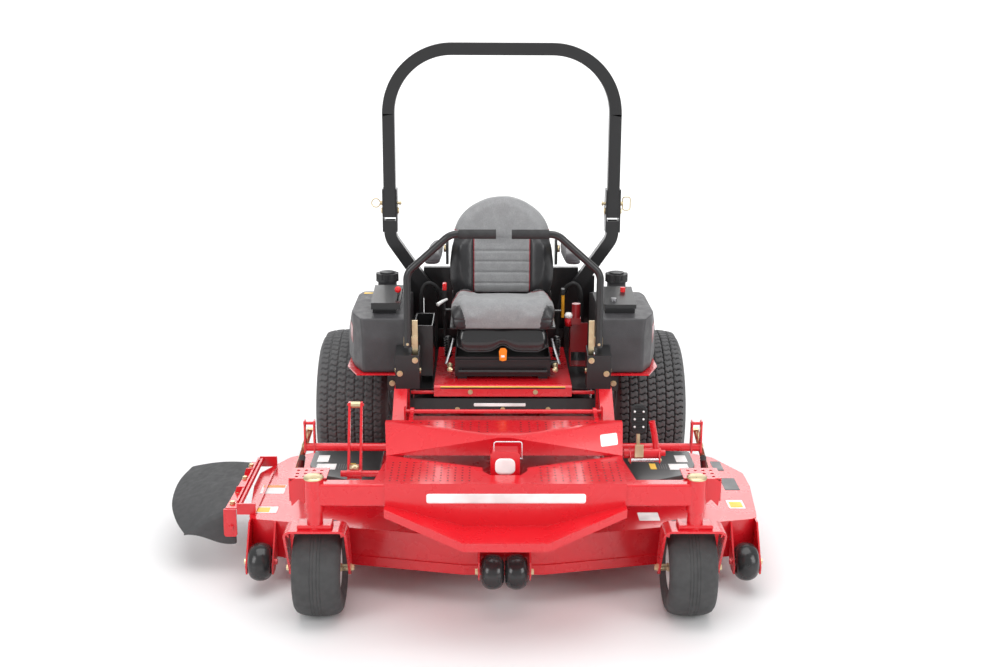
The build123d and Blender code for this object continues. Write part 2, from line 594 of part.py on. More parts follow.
# ---------------------------------------------------------------- wheels
def drive_tyre():
    """The left drive tyre as a hollow carcass."""
    half = DRIVE_TYRE_WIDTH / 2
    r = DRIVE_TYRE_R
    outer = [(-118, RIM_R), (-140, 190), (-half, 240), (-half + 3, 285), (-126, 316), (-80, 327),
             (0, r), (80, 327), (126, 316), (half - 3, 285), (half, 240), (140, 190), (118, RIM_R)]
    inner = [(104, RIM_R), (124, 196), (134, 240), (130, 276), (106, 300), (0, 312), (-106, 300),
             (-130, 276), (-134, 240), (-124, 196), (-104, RIM_R)]
    return Pos(DRIVE_TYRE_X, 0, 0) * wheel(outer + inner, 0, DRIVE_TYRE_R)


def drive_rim():
    """The left rim with its disc, hub and axle stub, and five wheel nuts."""
    barrel = [(-118, RIM_R), (118, RIM_R), (118, 136), (104, 136), (98, 126), (-20, 126), (-20, 20),
              (-34, 20), (-34, 128), (-98, 128), (-104, 140), (-118, 140)]
    rim = Pos(DRIVE_TYRE_X, 0, 0) * wheel(barrel, 0, DRIVE_TYRE_R)
    hub = rod((585, 0, DRIVE_TYRE_R), (640, 0, DRIVE_TYRE_R), 46)
    shaft = rod((528.5, 0, DRIVE_TYRE_R), (648, 0, DRIVE_TYRE_R), 17)
    made = rim + hub + shaft
    for step in range(5):
        angle = step * 2 * pi / 5
        at = (612.5, 66 * cos(angle), DRIVE_TYRE_R + 66 * sin(angle))
        made += bolt(at, (1, 0, 0), 9, 12)
    return made


def caster_wheel():
    """The left caster wheel: tyre, rim disc and hub with its bearing bore."""
    half = CASTER_WIDTH / 2
    tyre = [(-66, CASTER_RIM_R), (-76, 100), (-half, 124), (-80, 142), (-66, 157), (-40, 163),
            (0, CASTER_R), (40, 163), (66, 157), (80, 142), (half, 124), (76, 100), (66, CASTER_RIM_R)]
    rim = [(-64, CASTER_RIM_R), (64, CASTER_RIM_R), (64, 72), (8, 72), (8, 28), (60, 28),
           (60, 8 + RUNNING_GAP), (-60, 8 + RUNNING_GAP), (-60, 28), (-8, 28), (-8, 72), (-64, 72)]
    place = Pos(CASTER_X, CASTER_AXLE_Y, CASTER_R)
    return pieces(place * wheel(tyre, 0, 0), place * wheel(rim, 0, 0))


def caster_fork():
    """The left fork: crown, two legs, axle and the swivel spindle with its cap."""
    x0, x1 = CASTER_X - 106, CASTER_X + 106
    crown = block(x0, x1, -1452, -1362, 346, 356)
    crown = crown + block(CASTER_X - 62, CASTER_X + 62, -1440, -1372, 356, FORK_TOP_Z)
    crown = fillet(crown.edges().filter_by(Axis.Y).group_by(Axis.Z)[0], 7)
    leg = side([(-1452, 352), (-1362, 352), (-1292, 180), (-1300, 141), (-1340, 141), (-1352, 180)],
               x0, x0 + 8)
    legs = leg + Pos(204, 0, 0) * leg
    axle = rod((x0 - 3, CASTER_AXLE_Y, CASTER_R), (x1 + 3, CASTER_AXLE_Y, CASTER_R), 8)
    spacer_left = pipe((x0 + 8, CASTER_AXLE_Y, CASTER_R), (CASTER_X - 60.3, CASTER_AXLE_Y, CASTER_R), 14, 8)
    spacer_right = pipe((CASTER_X + 60.3, CASTER_AXLE_Y, CASTER_R), (x1 - 8, CASTER_AXLE_Y, CASTER_R), 14, 8)
    nuts = bolt((x1, CASTER_AXLE_Y, CASTER_R), (1, 0, 0), 8, 9)
    nuts += bolt((x0, CASTER_AXLE_Y, CASTER_R), (-1, 0, 0), 8, 9)
    spindle = rod((CASTER_X, SWIVEL_Y, 360), (CASTER_X, SWIVEL_Y, 530), SWIVEL_R - RUNNING_GAP)
    collar = rod((CASTER_X, SWIVEL_Y, FORK_TOP_Z), (CASTER_X, SWIVEL_Y, 414.7), 27)
    profile = Polyline((0, 0), (34, 0), (34, 5), (30, 9), (18, 12), (0, 13), close=True)
    cap = Pos(CASTER_X, SWIVEL_Y, 529.3) * revolve(make_face(Plane.XZ * profile), Axis.Z, 360)
    return crown + legs + axle + spacer_left + spacer_right + nuts + spindle + collar + cap


# ---------------------------------------------------------------- deck
def deck_outline(inset):
    """The deck's outline seen from above, drawn in by inset."""
    left = [(140, -1240), (480, -1168), (925, -1072), (DECK_HALF_WIDTH, -760), (DECK_HALF_WIDTH, -620),
            (868, -440), (780, -385)]
    points = left + [(-x, y) for x, y in reversed(left)]
    face = make_face(Polyline(*points, close=True))
    rounded = [v for v in face.vertices() if abs(v.X) > 500]
    face = fillet(rounded, 46)
    return offset(face, -inset) if inset else face


def deck_shell():
    """The deck's shell, open below and at the discharge, with its front skirt strip."""
    outer = extrude(Pos(0, 0, DECK_LOW_Z) * deck_outline(0), DECK_TOP_Z - DECK_LOW_Z, dir=(0, 0, 1))
    inner = extrude(Pos(0, 0, DECK_LOW_Z - 5) * deck_outline(DECK_SKIN),
                    DECK_TOP_Z - DECK_LOW_Z + 5 - DECK_SKIN, dir=(0, 0, 1))
    shell = outer - inner
    shell -= block(-1000, -912, -1010, -560, DECK_LOW_Z - 1, DECK_TOP_Z - DECK_SKIN)
    skirt = extrude(Pos(0, 0, DECK_LOW_Z) * (deck_outline(-5) - deck_outline(0)), 36, dir=(0, 0, 1))
    skirt = skirt & block(-800, 800, -1300, -1000, 90, 200)
    shell = shell + skirt
    for x, y in SPINDLES.values():
        shell -= Pos(x, y, DECK_TOP_Z) * Cylinder(58, 40)
    save("deck_shell", shell)


def belt_covers():
    """The black covers over the outer pulleys, open below and where the belt passes."""
    points = [(470, -600), (470, -905), (480, -922), (575, -922), (712, -855), (742, -760), (742, -620),
              (722, -600)]
    top = plan(points, 326, 330)
    face = make_face(Polyline(*points, close=True))
    walls = extrude(Pos(0, 0, DECK_TOP_Z) * (face - offset(face, -4)), 88, dir=(0, 0, 1))
    walls -= block(450, 700, -1000, -560, 270, 312)
    walls -= block(440, 730, -620, -590, 236, 312)
    walls -= block(440, 620, -940, -890, 262, 318)
    save("belt_covers", pair(top + walls))


def spindle_housings():
    """The three flanged bearing housings in the deck's top."""
    made = []
    for x, y in SPINDLES.values():
        flange = Pos(x, y, DECK_TOP_Z + 6) * Cylinder(88, 12)
        body = Pos(x, y, 226) * Cylinder(57.5, 76)
        house = (flange + body) - Pos(x, y, 230) * Cylinder(SPINDLE_R + RUNNING_GAP, 200)
        for step in range(6):
            angle = step * pi / 3
            house += bolt((x + 74 * cos(angle), y + 74 * sin(angle), DECK_TOP_Z + 12), (0, 0, 1), 5, 5)
        made += pieces(house)
    save("spindle_housings", made)


def blade_spindle(x, y):
    """One blade with its shaft, pulley and blade bolt."""
    shaft = rod((x, y, 124), (x, y, 312), SPINDLE_R)
    groove = Cylinder(PULLEY_R + 1, 14) - Cylinder(PULLEY_R - 10, 14)
    pulley = Pos(x, y, PULLEY_Z) * (Cylinder(PULLEY_R, 22) - groove - Cylinder(SPINDLE_R, 40))
    nut = Pos(x, y, 316) * Cylinder(18, 8)
    half = BLADE_LENGTH / 2
    blade = block(x - half, x + half, y - 31, y + 31, 112, 118)
    section = [(31, 112), (31, 118), (24, 140), (18, 140), (25, 112)]
    sail = side([(y + across, z) for across, z in section], x + half - 130, x + half - 12)
    sail_far = side([(y - across, z) for across, z in section], x - half + 12, x - half + 130)
    spacer = Pos(x, y, 121) * Cylinder(30, 6)
    head = Pos(x, y, 108.5) * Cylinder(20, 7)
    ends = blade + sail + sail_far
    trim = Pos(x, y, 126) * Cylinder(half, 60)
    return pieces(shaft + nut + spacer, pulley, (ends & trim) + head)


def drive_belt():
    """One flat loop round the three spindle pulleys and the clutch drum."""
    rounds = [(x, y, PULLEY_R - 9) for x, y in SPINDLES.values()] + [(0, CLUTCH_Y, CLUTCH_R + 1.5)]
    inner = make_hull([e for x, y, r in rounds for e in (Pos(x, y) * Circle(r)).edges()])
    outer = make_hull([e for x, y, r in rounds for e in (Pos(x, y) * Circle(r + 12)).edges()])
    loop = extrude(Pos(0, 0, PULLEY_Z - 6) * (outer - inner), 12, dir=(0, 0, 1))
    save("drive_belt", loop)


def clutch_pulley():
    """The engine's drum and its shaft; the drum is tall, so the belt can rise with the deck."""
    drum = Pos(0, CLUTCH_Y, 320) * Cylinder(CLUTCH_R, 96)
    flange = Pos(0, CLUTCH_Y, 374) * Cylinder(CLUTCH_R + 18, 12)
    low = Pos(0, CLUTCH_Y, 269) * Cylinder(CLUTCH_R + 18, 6)
    case = Pos(0, CLUTCH_Y, 400) * Cylinder(62, 40)
    shaft = rod((0, CLUTCH_Y, 280), (0, CLUTCH_Y, 496), 14)
    save("clutch_pulley", drum + flange + low + case + shaft)


def chute_hinge():
    """The two lugs on the deck and the rod on which the discharge chute turns."""
    x, z = CHUTE_HINGE_X, CHUTE_HINGE_Z
    lugs = block(x - 9, x + 60, -548, -541, DECK_TOP_Z, z + 20)
    lugs = lugs + block(x - 9, x + 60, -1037, -1030, DECK_TOP_Z, z + 20)
    tie = block(x + 52, x + 60, -1037, -541, DECK_TOP_Z, DECK_TOP_Z + 8)
    return lugs + tie + rod((x, -1040, z + 8), (x, -538, z + 8), 5)


def roller_brackets():
    """The red plates that hold the scalp rollers with their axle bolts, and the chute's hinge rod."""
    y, z = FRONT_ROLLER_AT
    outline = [(-1246, 105), (-1246, 232), (-1270, 236), (-1338, 190), (-1338, 134), (-1322, 116)]
    plate = side(outline, 86, 92)
    axle = rod((-96, y, z), (96, y, z), 6)
    nuts = bolt((92, y, z), (1, 0, 0), 7, 8)
    centre = plate + other_side(plate) + axle + nuts + other_side(nuts)
    y, z = SIDE_ROLLER_AT
    outline = [(-1060, 238), (-1100, 238), (-1196, 104), (-1192, 76), (-1148, 76), (-1060, 130)]
    outer = side(outline, SIDE_ROLLER_X + 44, SIDE_ROLLER_X + 50)
    outer -= extrude(Pos(0, 0, 60) * deck_outline(0), 200, dir=(0, 0, 1))
    inner = side(outline, SIDE_ROLLER_X - 50, SIDE_ROLLER_X - 44)
    inner -= extrude(Pos(0, 0, 60) * deck_outline(-5), 200, dir=(0, 0, 1))
    bar = rod((SIDE_ROLLER_X - 56, y, z), (SIDE_ROLLER_X + 54, y, z), 6)
    nut = bolt((SIDE_ROLLER_X - 50, y, z), (-1, 0, 0), 7, 8)
    nut += bolt((SIDE_ROLLER_X + 50, y, z), (1, 0, 0), 7, 6)
    side_set = outer + inner + bar + nut
    save("roller_brackets", pieces(centre, chute_hinge()) + pair(side_set))


def roller(x0, x1, y, z, radius):
    """A plastic roller with rounded shoulders, bored for its bolt."""
    half = (x1 - x0) / 2
    profile = [(-half, 6 + RUNNING_GAP), (-half, radius * 0.5), (-half + 4, radius * 0.78),
               (-half + 14, radius * 0.94), (-half + 28, radius), (half - 28, radius),
               (half - 14, radius * 0.94), (half - 4, radius * 0.78), (half, radius * 0.5),
               (half, 6 + RUNNING_GAP)]
    return Pos((x0 + x1) / 2, 0, 0) * wheel(profile, y, z)


def side_roller():
    return roller(SIDE_ROLLER_X - 41, SIDE_ROLLER_X + 41, *SIDE_ROLLER_AT, SIDE_ROLLER_R)


def front_roller():
    return roller(2, 80, *FRONT_ROLLER_AT, FRONT_ROLLER_R)


def deck_links():
    """The zinc bars and gas struts by which the deck hangs from the frame's ears."""
    start, end = Vector(720.5, -867, 514), Vector(812, -650, 256)
    axis = end - start
    bar = extrude(Plane(origin=start, z_dir=axis) * Rectangle(12, 20), axis.length - 10)
    foot = block(796, 832, -676, -634, DECK_TOP_Z, 262)
    strut = rod((757, -850, 392), (792, -712, 262), 12)
    strut_foot = block(776, 806, -732, -698, DECK_TOP_Z, 258)
    save("deck_links", pair(bar + foot, strut + strut_foot))


def chute_frame():
    """The hinged steel strip of the discharge chute, with its clamp bolts."""
    x, z = CHUTE_HINGE_X, CHUTE_HINGE_Z
    strip = plan([(x + 2, -552), (x + 2, -1028), (x - 52, -1028), (x - 40, -552)], z - 4, z)
    strip = strip + plan([(x - 8, -560), (x - 8, -1010), (x - 14, -1010), (x - 14, -560)], z, z + 22)
    flange = front([(x - 54, 152), (x - 18, 152), (x - 12, 160), (x - 12, z - 2), (x - 58, z - 2),
                    (x - 60, 200), (x - 60, 160)], -1036, -1028)
    tube = rod((x, -1028, z + 8), (x, -550, z + 8), 9)
    tube -= rod((x, -1029, z + 8), (x, -549, z + 8), 5 + RUNNING_GAP)
    made = strip + flange + tube
    for y in (-600, -735, -870, -985):
        made += bolt((x - 34, y, z), (0, 0, 1), 6, 7)
    made += bolt((x - 32, -1036, 190), (0, -1, 0), 6, 6)
    save("chute_frame", made)


def chute_flap():
    """The rubber flap: a sloping sheet with a turned-down front part."""
    x, z = CHUTE_HINGE_X - 18, CHUTE_HINGE_Z - 4.3
    outline = [(x, -552, z), (CHUTE_TIP_X + 2, -472, 206), (CHUTE_TIP_X + 8, -851, 186),
               (-1190, -1000, 160), (x, -1024, z)]
    slope = sheet(outline, 8, (0, 0, -1))
    above = sheet(outline, 200, (0, 0, 1))
    skirt = plan([(x - 6, -1022), (-1186, -998), (-1184, -990), (x - 6, -1014)], 104, z + 40)
    save("chute_flap", slope + (skirt - above))


# ---------------------------------------------------------------- engine and drive
def engine_block():
    """Crankcase and two finned cylinders in a V."""
    case = block(-130, 130, 90, 330, 498, 690)
    case = fillet(case.edges().filter_by(Axis.Z), 24)
    made = case
    for turn in (-45, 45):
        place = Pos(0, 230, 600) * Rot(0, 0, turn)
        barrel = place * Pos(0, 120, 0) * Box(104, 130, 120)
        for fin in range(6):
            barrel += place * Pos(0, 92 + 20 * fin, 0) * Box(132, 8, 150)
        head = place * Pos(0, 212, 0) * Box(124, 50, 140)
        made += barrel + head
    save("engine_block", made)


def engine_shroud():
    """The fan housing with its screen, the heat shield behind the seat and the air cleaner."""
    case = block(-180, 180, 60, 360, 690, 800)
    case = fillet(case.edges().filter_by(Axis.Z), 60)
    case = fillet(case.edges().group_by(Axis.Z)[-1], 16)
    screen = Pos(0, 210, 806) * Cylinder(110, 12)
    for ring_r in (40, 62, 84):
        screen -= Pos(0, 210, 812) * (Cylinder(ring_r + 8, 6) - Cylinder(ring_r, 6))
    shield = block(-336, 336, 30, 34, 510, 940) + block(-336, 336, 34, 58, 936, 940)
    ends = block(332, 336, 34, 58, 510, 940)
    cleaner = rod((-140, 395, 790), (140, 395, 790), 62)
    band = rod((-60, 395, 790), (-50, 395, 790), 66) + rod((50, 395, 790), (60, 395, 790), 66)
    inlet = rod((150, 395, 790), (140, 395, 790), 40)
    save("engine_shroud", pieces(case + screen, shield + ends + other_side(ends), cleaner + band + inlet))


def muffler():
    """The silencer across the back, with its bent outlet."""
    y, z = 494, 546
    can = rod((-190, y, z), (190, y, z), 46)
    can = fillet(can.edges().filter_by(GeomType.CIRCLE), 12)
    outlet = bent_tube([(180, y, z), (244, y, z), (244, y + 50, z)], [28], Circle(15))
    save("muffler", can + outlet)


def rear_guard():
    """The tube bumper round the engine's back, with its mesh bars."""
    y = GUARD_REAR_Y - 16
    route = [(385, 440, 512), (385, y, 566), (385, y, 720), (-385, y, 720), (-385, y, 566), (-385, 440, 512)]
    loop = bent_tube(route, [50, 60, 60, 50], Circle(16))
    low = rod((-372, y, 600), (372, y, 600), 10)
    feet = block(362, 408, 424, 466, RAIL_TOP_Z, 506)
    bars = None
    for x in range(-300, 301, 100):
        bar = rod((x, y, 600), (x, y, 720), 6)
        bars = bar if bars is None else bars + bar
    save("rear_guard", loop + low + bars + feet + other_side(feet))


def hydraulic_drives():
    """Two pumps under the frame, and a wheel motor at each drive wheel."""
    pump = block(70, 190, -250, -110, 330, RAIL_LOW_Z - 4)
    pump = fillet(pump.edges().filter_by(Axis.Z), 16)
    head = rod((190, -180, 380), (226, -180, 380), 34)
    pulley = Pos(130, -180, 318) * Cylinder(46, 18)
    hanger = block(60, 200, -250, -110, RAIL_LOW_Z - 4, RAIL_LOW_Z + 2)
    tie = block(60, 200, -110, -58, RAIL_LOW_Z - 4, RAIL_LOW_Z)
    motor = rod((RAIL_OUTER_X, 0, DRIVE_TYRE_R), (480, 0, DRIVE_TYRE_R), 76)
    motor += rod((478, 0, DRIVE_TYRE_R), (528, 0, DRIVE_TYRE_R), 56)
    save("hydraulic_drives", pair(pump + head + pulley + tie, motor))


def battery():
    """The starter battery on its tray under the seat platform."""
    case = block(-330, -150, -330, -130, 498, 572)
    tray = block(-352, -140, -340, -120, 494, 498) + block(-352, -348, -340, -120, 440, 498)
    lid = block(-326, -154, -326, -134, 572, 584)
    posts = rod((-300, -160, 584), (-300, -160, 596), 8) + rod((-180, -160, 584), (-180, -160, 596), 8)
    save("battery", case + tray + lid + posts)


def hydraulic_hoses():
    """Suction hoses arched beside the roll bar's legs, and the cables down from the towers."""
    hose = bent_tube([(240, -90, 498), (240, -90, 700), (262, -90, 860), (330, -90, 920), (346, -90, 780),
                      (346, -90, 500)], [150, 60, 40, 120], Circle(9))
    cable = bent_tube([(430, -695, 655), (436, -690, 600), (434, -688, 560), (421, -684, 520),
                       (418.5, -680, 492)], [60, 60, 50], Circle(3.5))
    save("hydraulic_hoses", pair(hose, cable))


def fasteners():
    """Bolts of the towers, the frame and the rear plate."""
    made = []
    for x, z in ((332, 752), (390, 700), (425, 640)):
        y = -775 if x < 407 else -703
        made.append(bolt((x, y, z), (0, -1, 0), 6, 6))
    made += [bolt((RAIL_OUTER_X, y, 455), (1, 0, 0), 6, 6) for y in (-600, -300, 300)]
    save("fasteners", pair(*made))


main_frame()
front_nose()
footplate()
footplate_catch()
lever_towers()
for name, turn in (("left", this_side), ("right", other_side)):
    save(f"lever_hub_{name}", turn(lever_hub()))
    save(f"steering_lever_{name}", pieces(*[turn(s) for s in steering_lever()]))
    save(f"fuel_tank_{name}", turn(fuel_tank()))
    save(f"fuel_cap_{name}", turn(fuel_cap()))
    save(f"armrest_{name}", turn(armrest()))
    save(f"drive_tyre_{name}", turn(drive_tyre()))
    save(f"drive_rim_{name}", turn(drive_rim()))
    save(f"caster_wheel_{name}", pieces(*[turn(s) for s in caster_wheel()]))
    save(f"caster_fork_{name}", turn(caster_fork()))
    save(f"side_roller_{name}", turn(side_roller()))
    save(f"front_roller_{name}", turn(front_roller()))
brake_pedal()
deck_lift_pedal()
control_consoles()
throttle_lever()
tank_brackets()
seat_deck()
seat_slide()
seat_pan()
seat_cushion()
seat_back()
rops_base()
rops_hoop()
rops_lock_pins()
deck_shell()
belt_covers()
spindle_housings()
drive_belt()
clutch_pulley()
for name, (spindle_x, spindle_y) in SPINDLES.items():
    save(f"blade_spindle_{name}", blade_spindle(spindle_x, spindle_y))
roller_brackets()
deck_links()
chute_frame()
chute_flap()
engine_block()
engine_shroud()
muffler()
rear_guard()
hydraulic_drives()
battery()
hydraulic_hoses()
fasteners()
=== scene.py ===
import math
import bpy
import bmesh
import numpy as np
from mathutils import Matrix, Vector
from mathutils.bvhtree import BVHTree


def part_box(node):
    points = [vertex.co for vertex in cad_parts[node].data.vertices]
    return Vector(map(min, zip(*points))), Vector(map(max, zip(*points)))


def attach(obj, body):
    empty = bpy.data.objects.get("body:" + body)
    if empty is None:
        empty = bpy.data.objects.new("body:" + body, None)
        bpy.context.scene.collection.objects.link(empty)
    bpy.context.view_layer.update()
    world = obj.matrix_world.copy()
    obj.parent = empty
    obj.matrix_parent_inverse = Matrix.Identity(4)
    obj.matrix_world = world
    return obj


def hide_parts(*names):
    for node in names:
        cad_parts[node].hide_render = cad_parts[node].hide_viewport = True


# The looks of a zero turn mower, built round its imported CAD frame.
# Lengths in the calls below are millimetres from the centre line, the rear axle and the ground,
# and at() turns them into the frame's metres.

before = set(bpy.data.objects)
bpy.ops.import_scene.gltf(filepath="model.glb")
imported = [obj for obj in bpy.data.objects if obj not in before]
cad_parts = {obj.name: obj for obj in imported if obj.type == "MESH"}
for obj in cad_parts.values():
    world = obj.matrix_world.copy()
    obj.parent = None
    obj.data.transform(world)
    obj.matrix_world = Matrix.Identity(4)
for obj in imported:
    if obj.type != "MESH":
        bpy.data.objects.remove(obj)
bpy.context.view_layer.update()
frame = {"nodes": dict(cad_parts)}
NODES = frame["nodes"]

left_low, left_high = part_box("drive_tyre_left")
right_low, right_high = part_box("drive_tyre_right")
CENTRE_X = (left_high.x + right_low.x) / 2
AXLE_Y = (left_low.y + left_high.y) / 2
MM = 0.001
SIDES = (("left", 1), ("right", -1))


def at(x, y, z):
    """A point in the frame, from millimetres off the centre line, the rear axle and the ground."""
    return Vector((CENTRE_X + x * MM, AXLE_Y + y * MM, z * MM))


# ---------------------------------------------------------------- materials
class Surface:
    """A procedural material: a principled shader, with helpers that add nodes to it."""

    def __init__(self, name, colour, roughness, **sockets):
        self.made = bpy.data.materials.new(name)
        self.made.use_nodes = True
        self.tree = self.made.node_tree
        self.shader = self.tree.nodes["Principled BSDF"]
        self.colour = (*colour, 1)
        self.shader.inputs["Base Color"].default_value = self.colour
        self.shader.inputs["Roughness"].default_value = roughness
        for socket, value in sockets.items():
            self.shader.inputs[socket.replace("_", " ")].default_value = value
        self.height = None
        self.place = self.node("ShaderNodeTexCoord").outputs["Object"]

    def node(self, kind, values=None, **settings):
        """Adds a node; values are numbers or the sockets to link in."""
        made = self.tree.nodes.new(kind)
        for name, value in settings.items():
            setattr(made, name, value)
        for socket, value in (values or {}).items():
            if isinstance(value, bpy.types.NodeSocket):
                self.tree.links.new(value, made.inputs[socket])
            else:
                made.inputs[socket].default_value = value
        return made

    def noise(self, scale, detail=3.0, stretch=None):
        """A noise pattern, finer with a larger scale."""
        place = self.place
        if stretch:
            mapping = self.node("ShaderNodeMapping", {"Vector": place, "Scale": stretch})
            place = mapping.outputs["Vector"]
        values = {"Vector": place, "Scale": scale, "Detail": detail}
        return self.node("ShaderNodeTexNoise", values).outputs["Fac"]

    def ramp(self, value, low, high, start=0.3, end=0.7):
        """Value, from start to end, becomes a number from low to high."""
        made = self.node("ShaderNodeMapRange", {"Value": value, "From Min": start, "From Max": end,
                                                "To Min": low, "To Max": high})
        return made.outputs["Result"]

    def tint(self, value, other, amount=1.0):
        """Mixes the other colour in where value is high."""
        share = self.ramp(value, 0, amount, 0.35, 0.7)
        mix = self.node("ShaderNodeMix", data_type="RGBA")
        self.tree.links.new(share, mix.inputs[0])
        old = self.shader.inputs["Base Color"]
        if old.is_linked:
            self.tree.links.new(old.links[0].from_socket, mix.inputs[6])
        else:
            mix.inputs[6].default_value = self.colour
        mix.inputs[7].default_value = (*other, 1)
        self.tree.links.new(mix.outputs[2], old)
        return self

    def rough(self, value, low, high):
        """Lets the roughness follow a value, from low to high."""
        self.tree.links.new(self.ramp(value, low, high), self.shader.inputs["Roughness"])
        return self

    def bump(self, value, depth, strength=1.0):
        """Adds a height, depth in metres, to the surface's relief."""
        values = {"Height": value, "Distance": depth, "Strength": strength}
        if self.height:
            values["Normal"] = self.height
        self.height = self.node("ShaderNodeBump", values).outputs["Normal"]
        self.tree.links.new(self.height, self.shader.inputs["Normal"])
        return self


def paint(name, colour, other, roughness=0.3, coat=0.5):
    """Powder coat: a soft orange peel and a little variation in colour and gloss."""
    made = Surface(name, colour, roughness, Coat_Weight=coat, Coat_Roughness=0.12)
    made.tint(made.noise(2.5), other, 0.5)
    made.rough(made.noise(14, 4), roughness - 0.02, roughness + 0.04)
    made.bump(made.noise(420, 2), 0.0002, 0.03)
    return made.made


def plastic(name, colour, roughness, grain, relief):
    """Moulded plastic with a fine leathery grain."""
    made = Surface(name, colour, roughness)
    made.tint(made.noise(9), [c * 1.7 for c in colour], 0.7)
    made.rough(made.noise(30, 4), roughness - 0.08, roughness + 0.08)
    cells = made.node("ShaderNodeTexVoronoi", {"Vector": made.place, "Scale": grain}).outputs["Distance"]
    made.bump(cells, relief, 0.5)
    made.bump(made.noise(grain * 2.2, 3), relief * 0.5, 0.4)
    return made.made


def metal(name, colour, other, roughness, stretch=None, scale=60.0):
    """Bare or plated metal, with clouded tone and fine brushing."""
    made = Surface(name, colour, roughness, Metallic=1.0)
    made.tint(made.noise(22, 4), other, 0.9)
    made.rough(made.noise(scale, 4, stretch), roughness - 0.1, roughness + 0.14)
    made.bump(made.noise(scale * 8, 3, stretch), 0.0003, 0.12)
    return made.made


def tyre_rubber(name, colour, dust):
    """Matt rubber, a little dusty."""
    made = Surface(name, colour, 0.72)
    made.tint(made.noise(16, 5), dust, 0.55)
    made.rough(made.noise(40, 4), 0.6, 0.85)
    made.bump(made.noise(600, 3), 0.0006, 0.35)
    return made.made


def vinyl(name, colour, roughness, coat=0.0):
    """Seat cover: soft pebbled grain with faint creases."""
    made = Surface(name, colour, roughness, Coat_Weight=coat, Coat_Roughness=0.25, Sheen_Weight=0.12)
    made.tint(made.noise(30, 5), [c * 1.5 + 0.004 for c in colour], 0.45)
    made.rough(made.noise(80, 3), roughness - 0.06, roughness + 0.08)
    cells = made.node("ShaderNodeTexVoronoi", {"Vector": made.place, "Scale": 520.0}).outputs["Distance"]
    made.bump(cells, 0.0006, 0.28)
    made.bump(made.noise(14, 2), 0.004, 0.16)
    return made.made


def knit(name, colour):
    """Seat centre: a close woven grey cloth."""
    made = Surface(name, colour, 0.82, Sheen_Weight=0.35, Sheen_Roughness=0.4)
    made.tint(made.noise(26, 6), [c * 1.28 for c in colour], 0.8)
    made.tint(made.noise(300, 2), [c * 0.72 for c in colour], 0.6)
    for direction in ("X", "Z"):
        threads = made.node("ShaderNodeTexWave", {"Vector": made.place, "Scale": 260.0, "Distortion": 0.4},
                            bands_direction=direction)
        made.bump(threads.outputs["Fac"], 0.0005, 0.35)
    return made.made


RED = paint("red_powder_coat", (0.72, 0.010, 0.020), (0.66, 0.008, 0.016), 0.27, 0.55)
DARK_RED = paint("deep_red_paint", (0.30, 0.006, 0.010), (0.20, 0.004, 0.006), 0.34, 0.4)
BLACK = paint("black_powder_coat", (0.011, 0.011, 0.012), (0.018, 0.018, 0.019), 0.36, 0.3)
GLOSS_BLACK = paint("black_gloss_paint", (0.012, 0.012, 0.013), (0.02, 0.02, 0.021), 0.22, 0.6)
TANK = plastic("tank_plastic", (0.044, 0.043, 0.046), 0.48, 300.0, 0.0008)
PLASTIC = plastic("black_plastic", (0.014, 0.014, 0.015), 0.42, 700.0, 0.0004)
ROLLER = plastic("roller_plastic", (0.022, 0.022, 0.023), 0.22, 90.0, 0.0004)
RED_PLASTIC = plastic("red_plastic", (0.58, 0.012, 0.014), 0.30, 700.0, 0.0002)
YELLOW = plastic("yellow_plastic", (0.80, 0.36, 0.02), 0.40, 500.0, 0.0003)
ORANGE = plastic("orange_tag", (0.85, 0.22, 0.01), 0.35, 500.0, 0.0002)
WHITE = plastic("white_label", (0.80, 0.80, 0.79), 0.38, 900.0, 0.0001)
LABEL_YELLOW = plastic("yellow_label", (0.82, 0.52, 0.03), 0.38, 900.0, 0.0001)
LABEL_GREY = plastic("grey_label", (0.16, 0.165, 0.17), 0.45, 900.0, 0.0001)
GREY_PLASTIC = plastic("grey_plastic", (0.10, 0.10, 0.105), 0.45, 600.0, 0.0003)
ZINC = metal("yellow_zinc", (0.76, 0.64, 0.40), (0.68, 0.54, 0.34), 0.34)
STEEL = metal("bare_steel", (0.52, 0.52, 0.53), (0.38, 0.38, 0.40), 0.34, (1.0, 1.0, 9.0))
CHROME = metal("bright_chrome", (0.80, 0.80, 0.82), (0.70, 0.70, 0.73), 0.16)
CAST = metal("cast_aluminium", (0.44, 0.44, 0.45), (0.30, 0.30, 0.31), 0.50, None, 140.0)
HOT_STEEL = metal("heated_steel", (0.44, 0.37, 0.31), (0.30, 0.22, 0.18), 0.42)
RIM = paint("rim_paint", (0.70, 0.70, 0.69), (0.60, 0.60, 0.60), 0.30, 0.4)
TYRE = tyre_rubber("tyre_rubber", (0.092, 0.092, 0.095), (0.125, 0.125, 0.125))
# painted shade: near-black rubber for the tyres' groove floors and the punched holes, where light hardly
# reaches
PAINTED_SHADE = tyre_rubber("painted_shade_rubber", (0.008, 0.008, 0.009), (0.016, 0.016, 0.016))
CASTER = tyre_rubber("caster_rubber", (0.046, 0.046, 0.047), (0.066, 0.066, 0.066))
FLAP = tyre_rubber("flap_rubber", (0.058, 0.059, 0.061), (0.080, 0.081, 0.083))
HOSE = tyre_rubber("hose_rubber", (0.016, 0.016, 0.017), (0.030, 0.030, 0.031))
GRIP = tyre_rubber("foam_grip", (0.022, 0.022, 0.023), (0.034, 0.034, 0.035))
COVER = vinyl("black_cover", (0.016, 0.016, 0.018), 0.36, 0.25)
ARM_COVER = vinyl("grey_cover", (0.050, 0.047, 0.052), 0.50)
CLOTH = knit("grey_cloth", (0.285, 0.288, 0.294))
PIPING = vinyl("red_piping", (0.28, 0.012, 0.022), 0.45)


# ---------------------------------------------------------------- mesh helpers
def placed(name, data):
    """A new object, linked into the scene."""
    made = bpy.data.objects.new(name, data)
    bpy.context.scene.collection.objects.link(made)
    return made


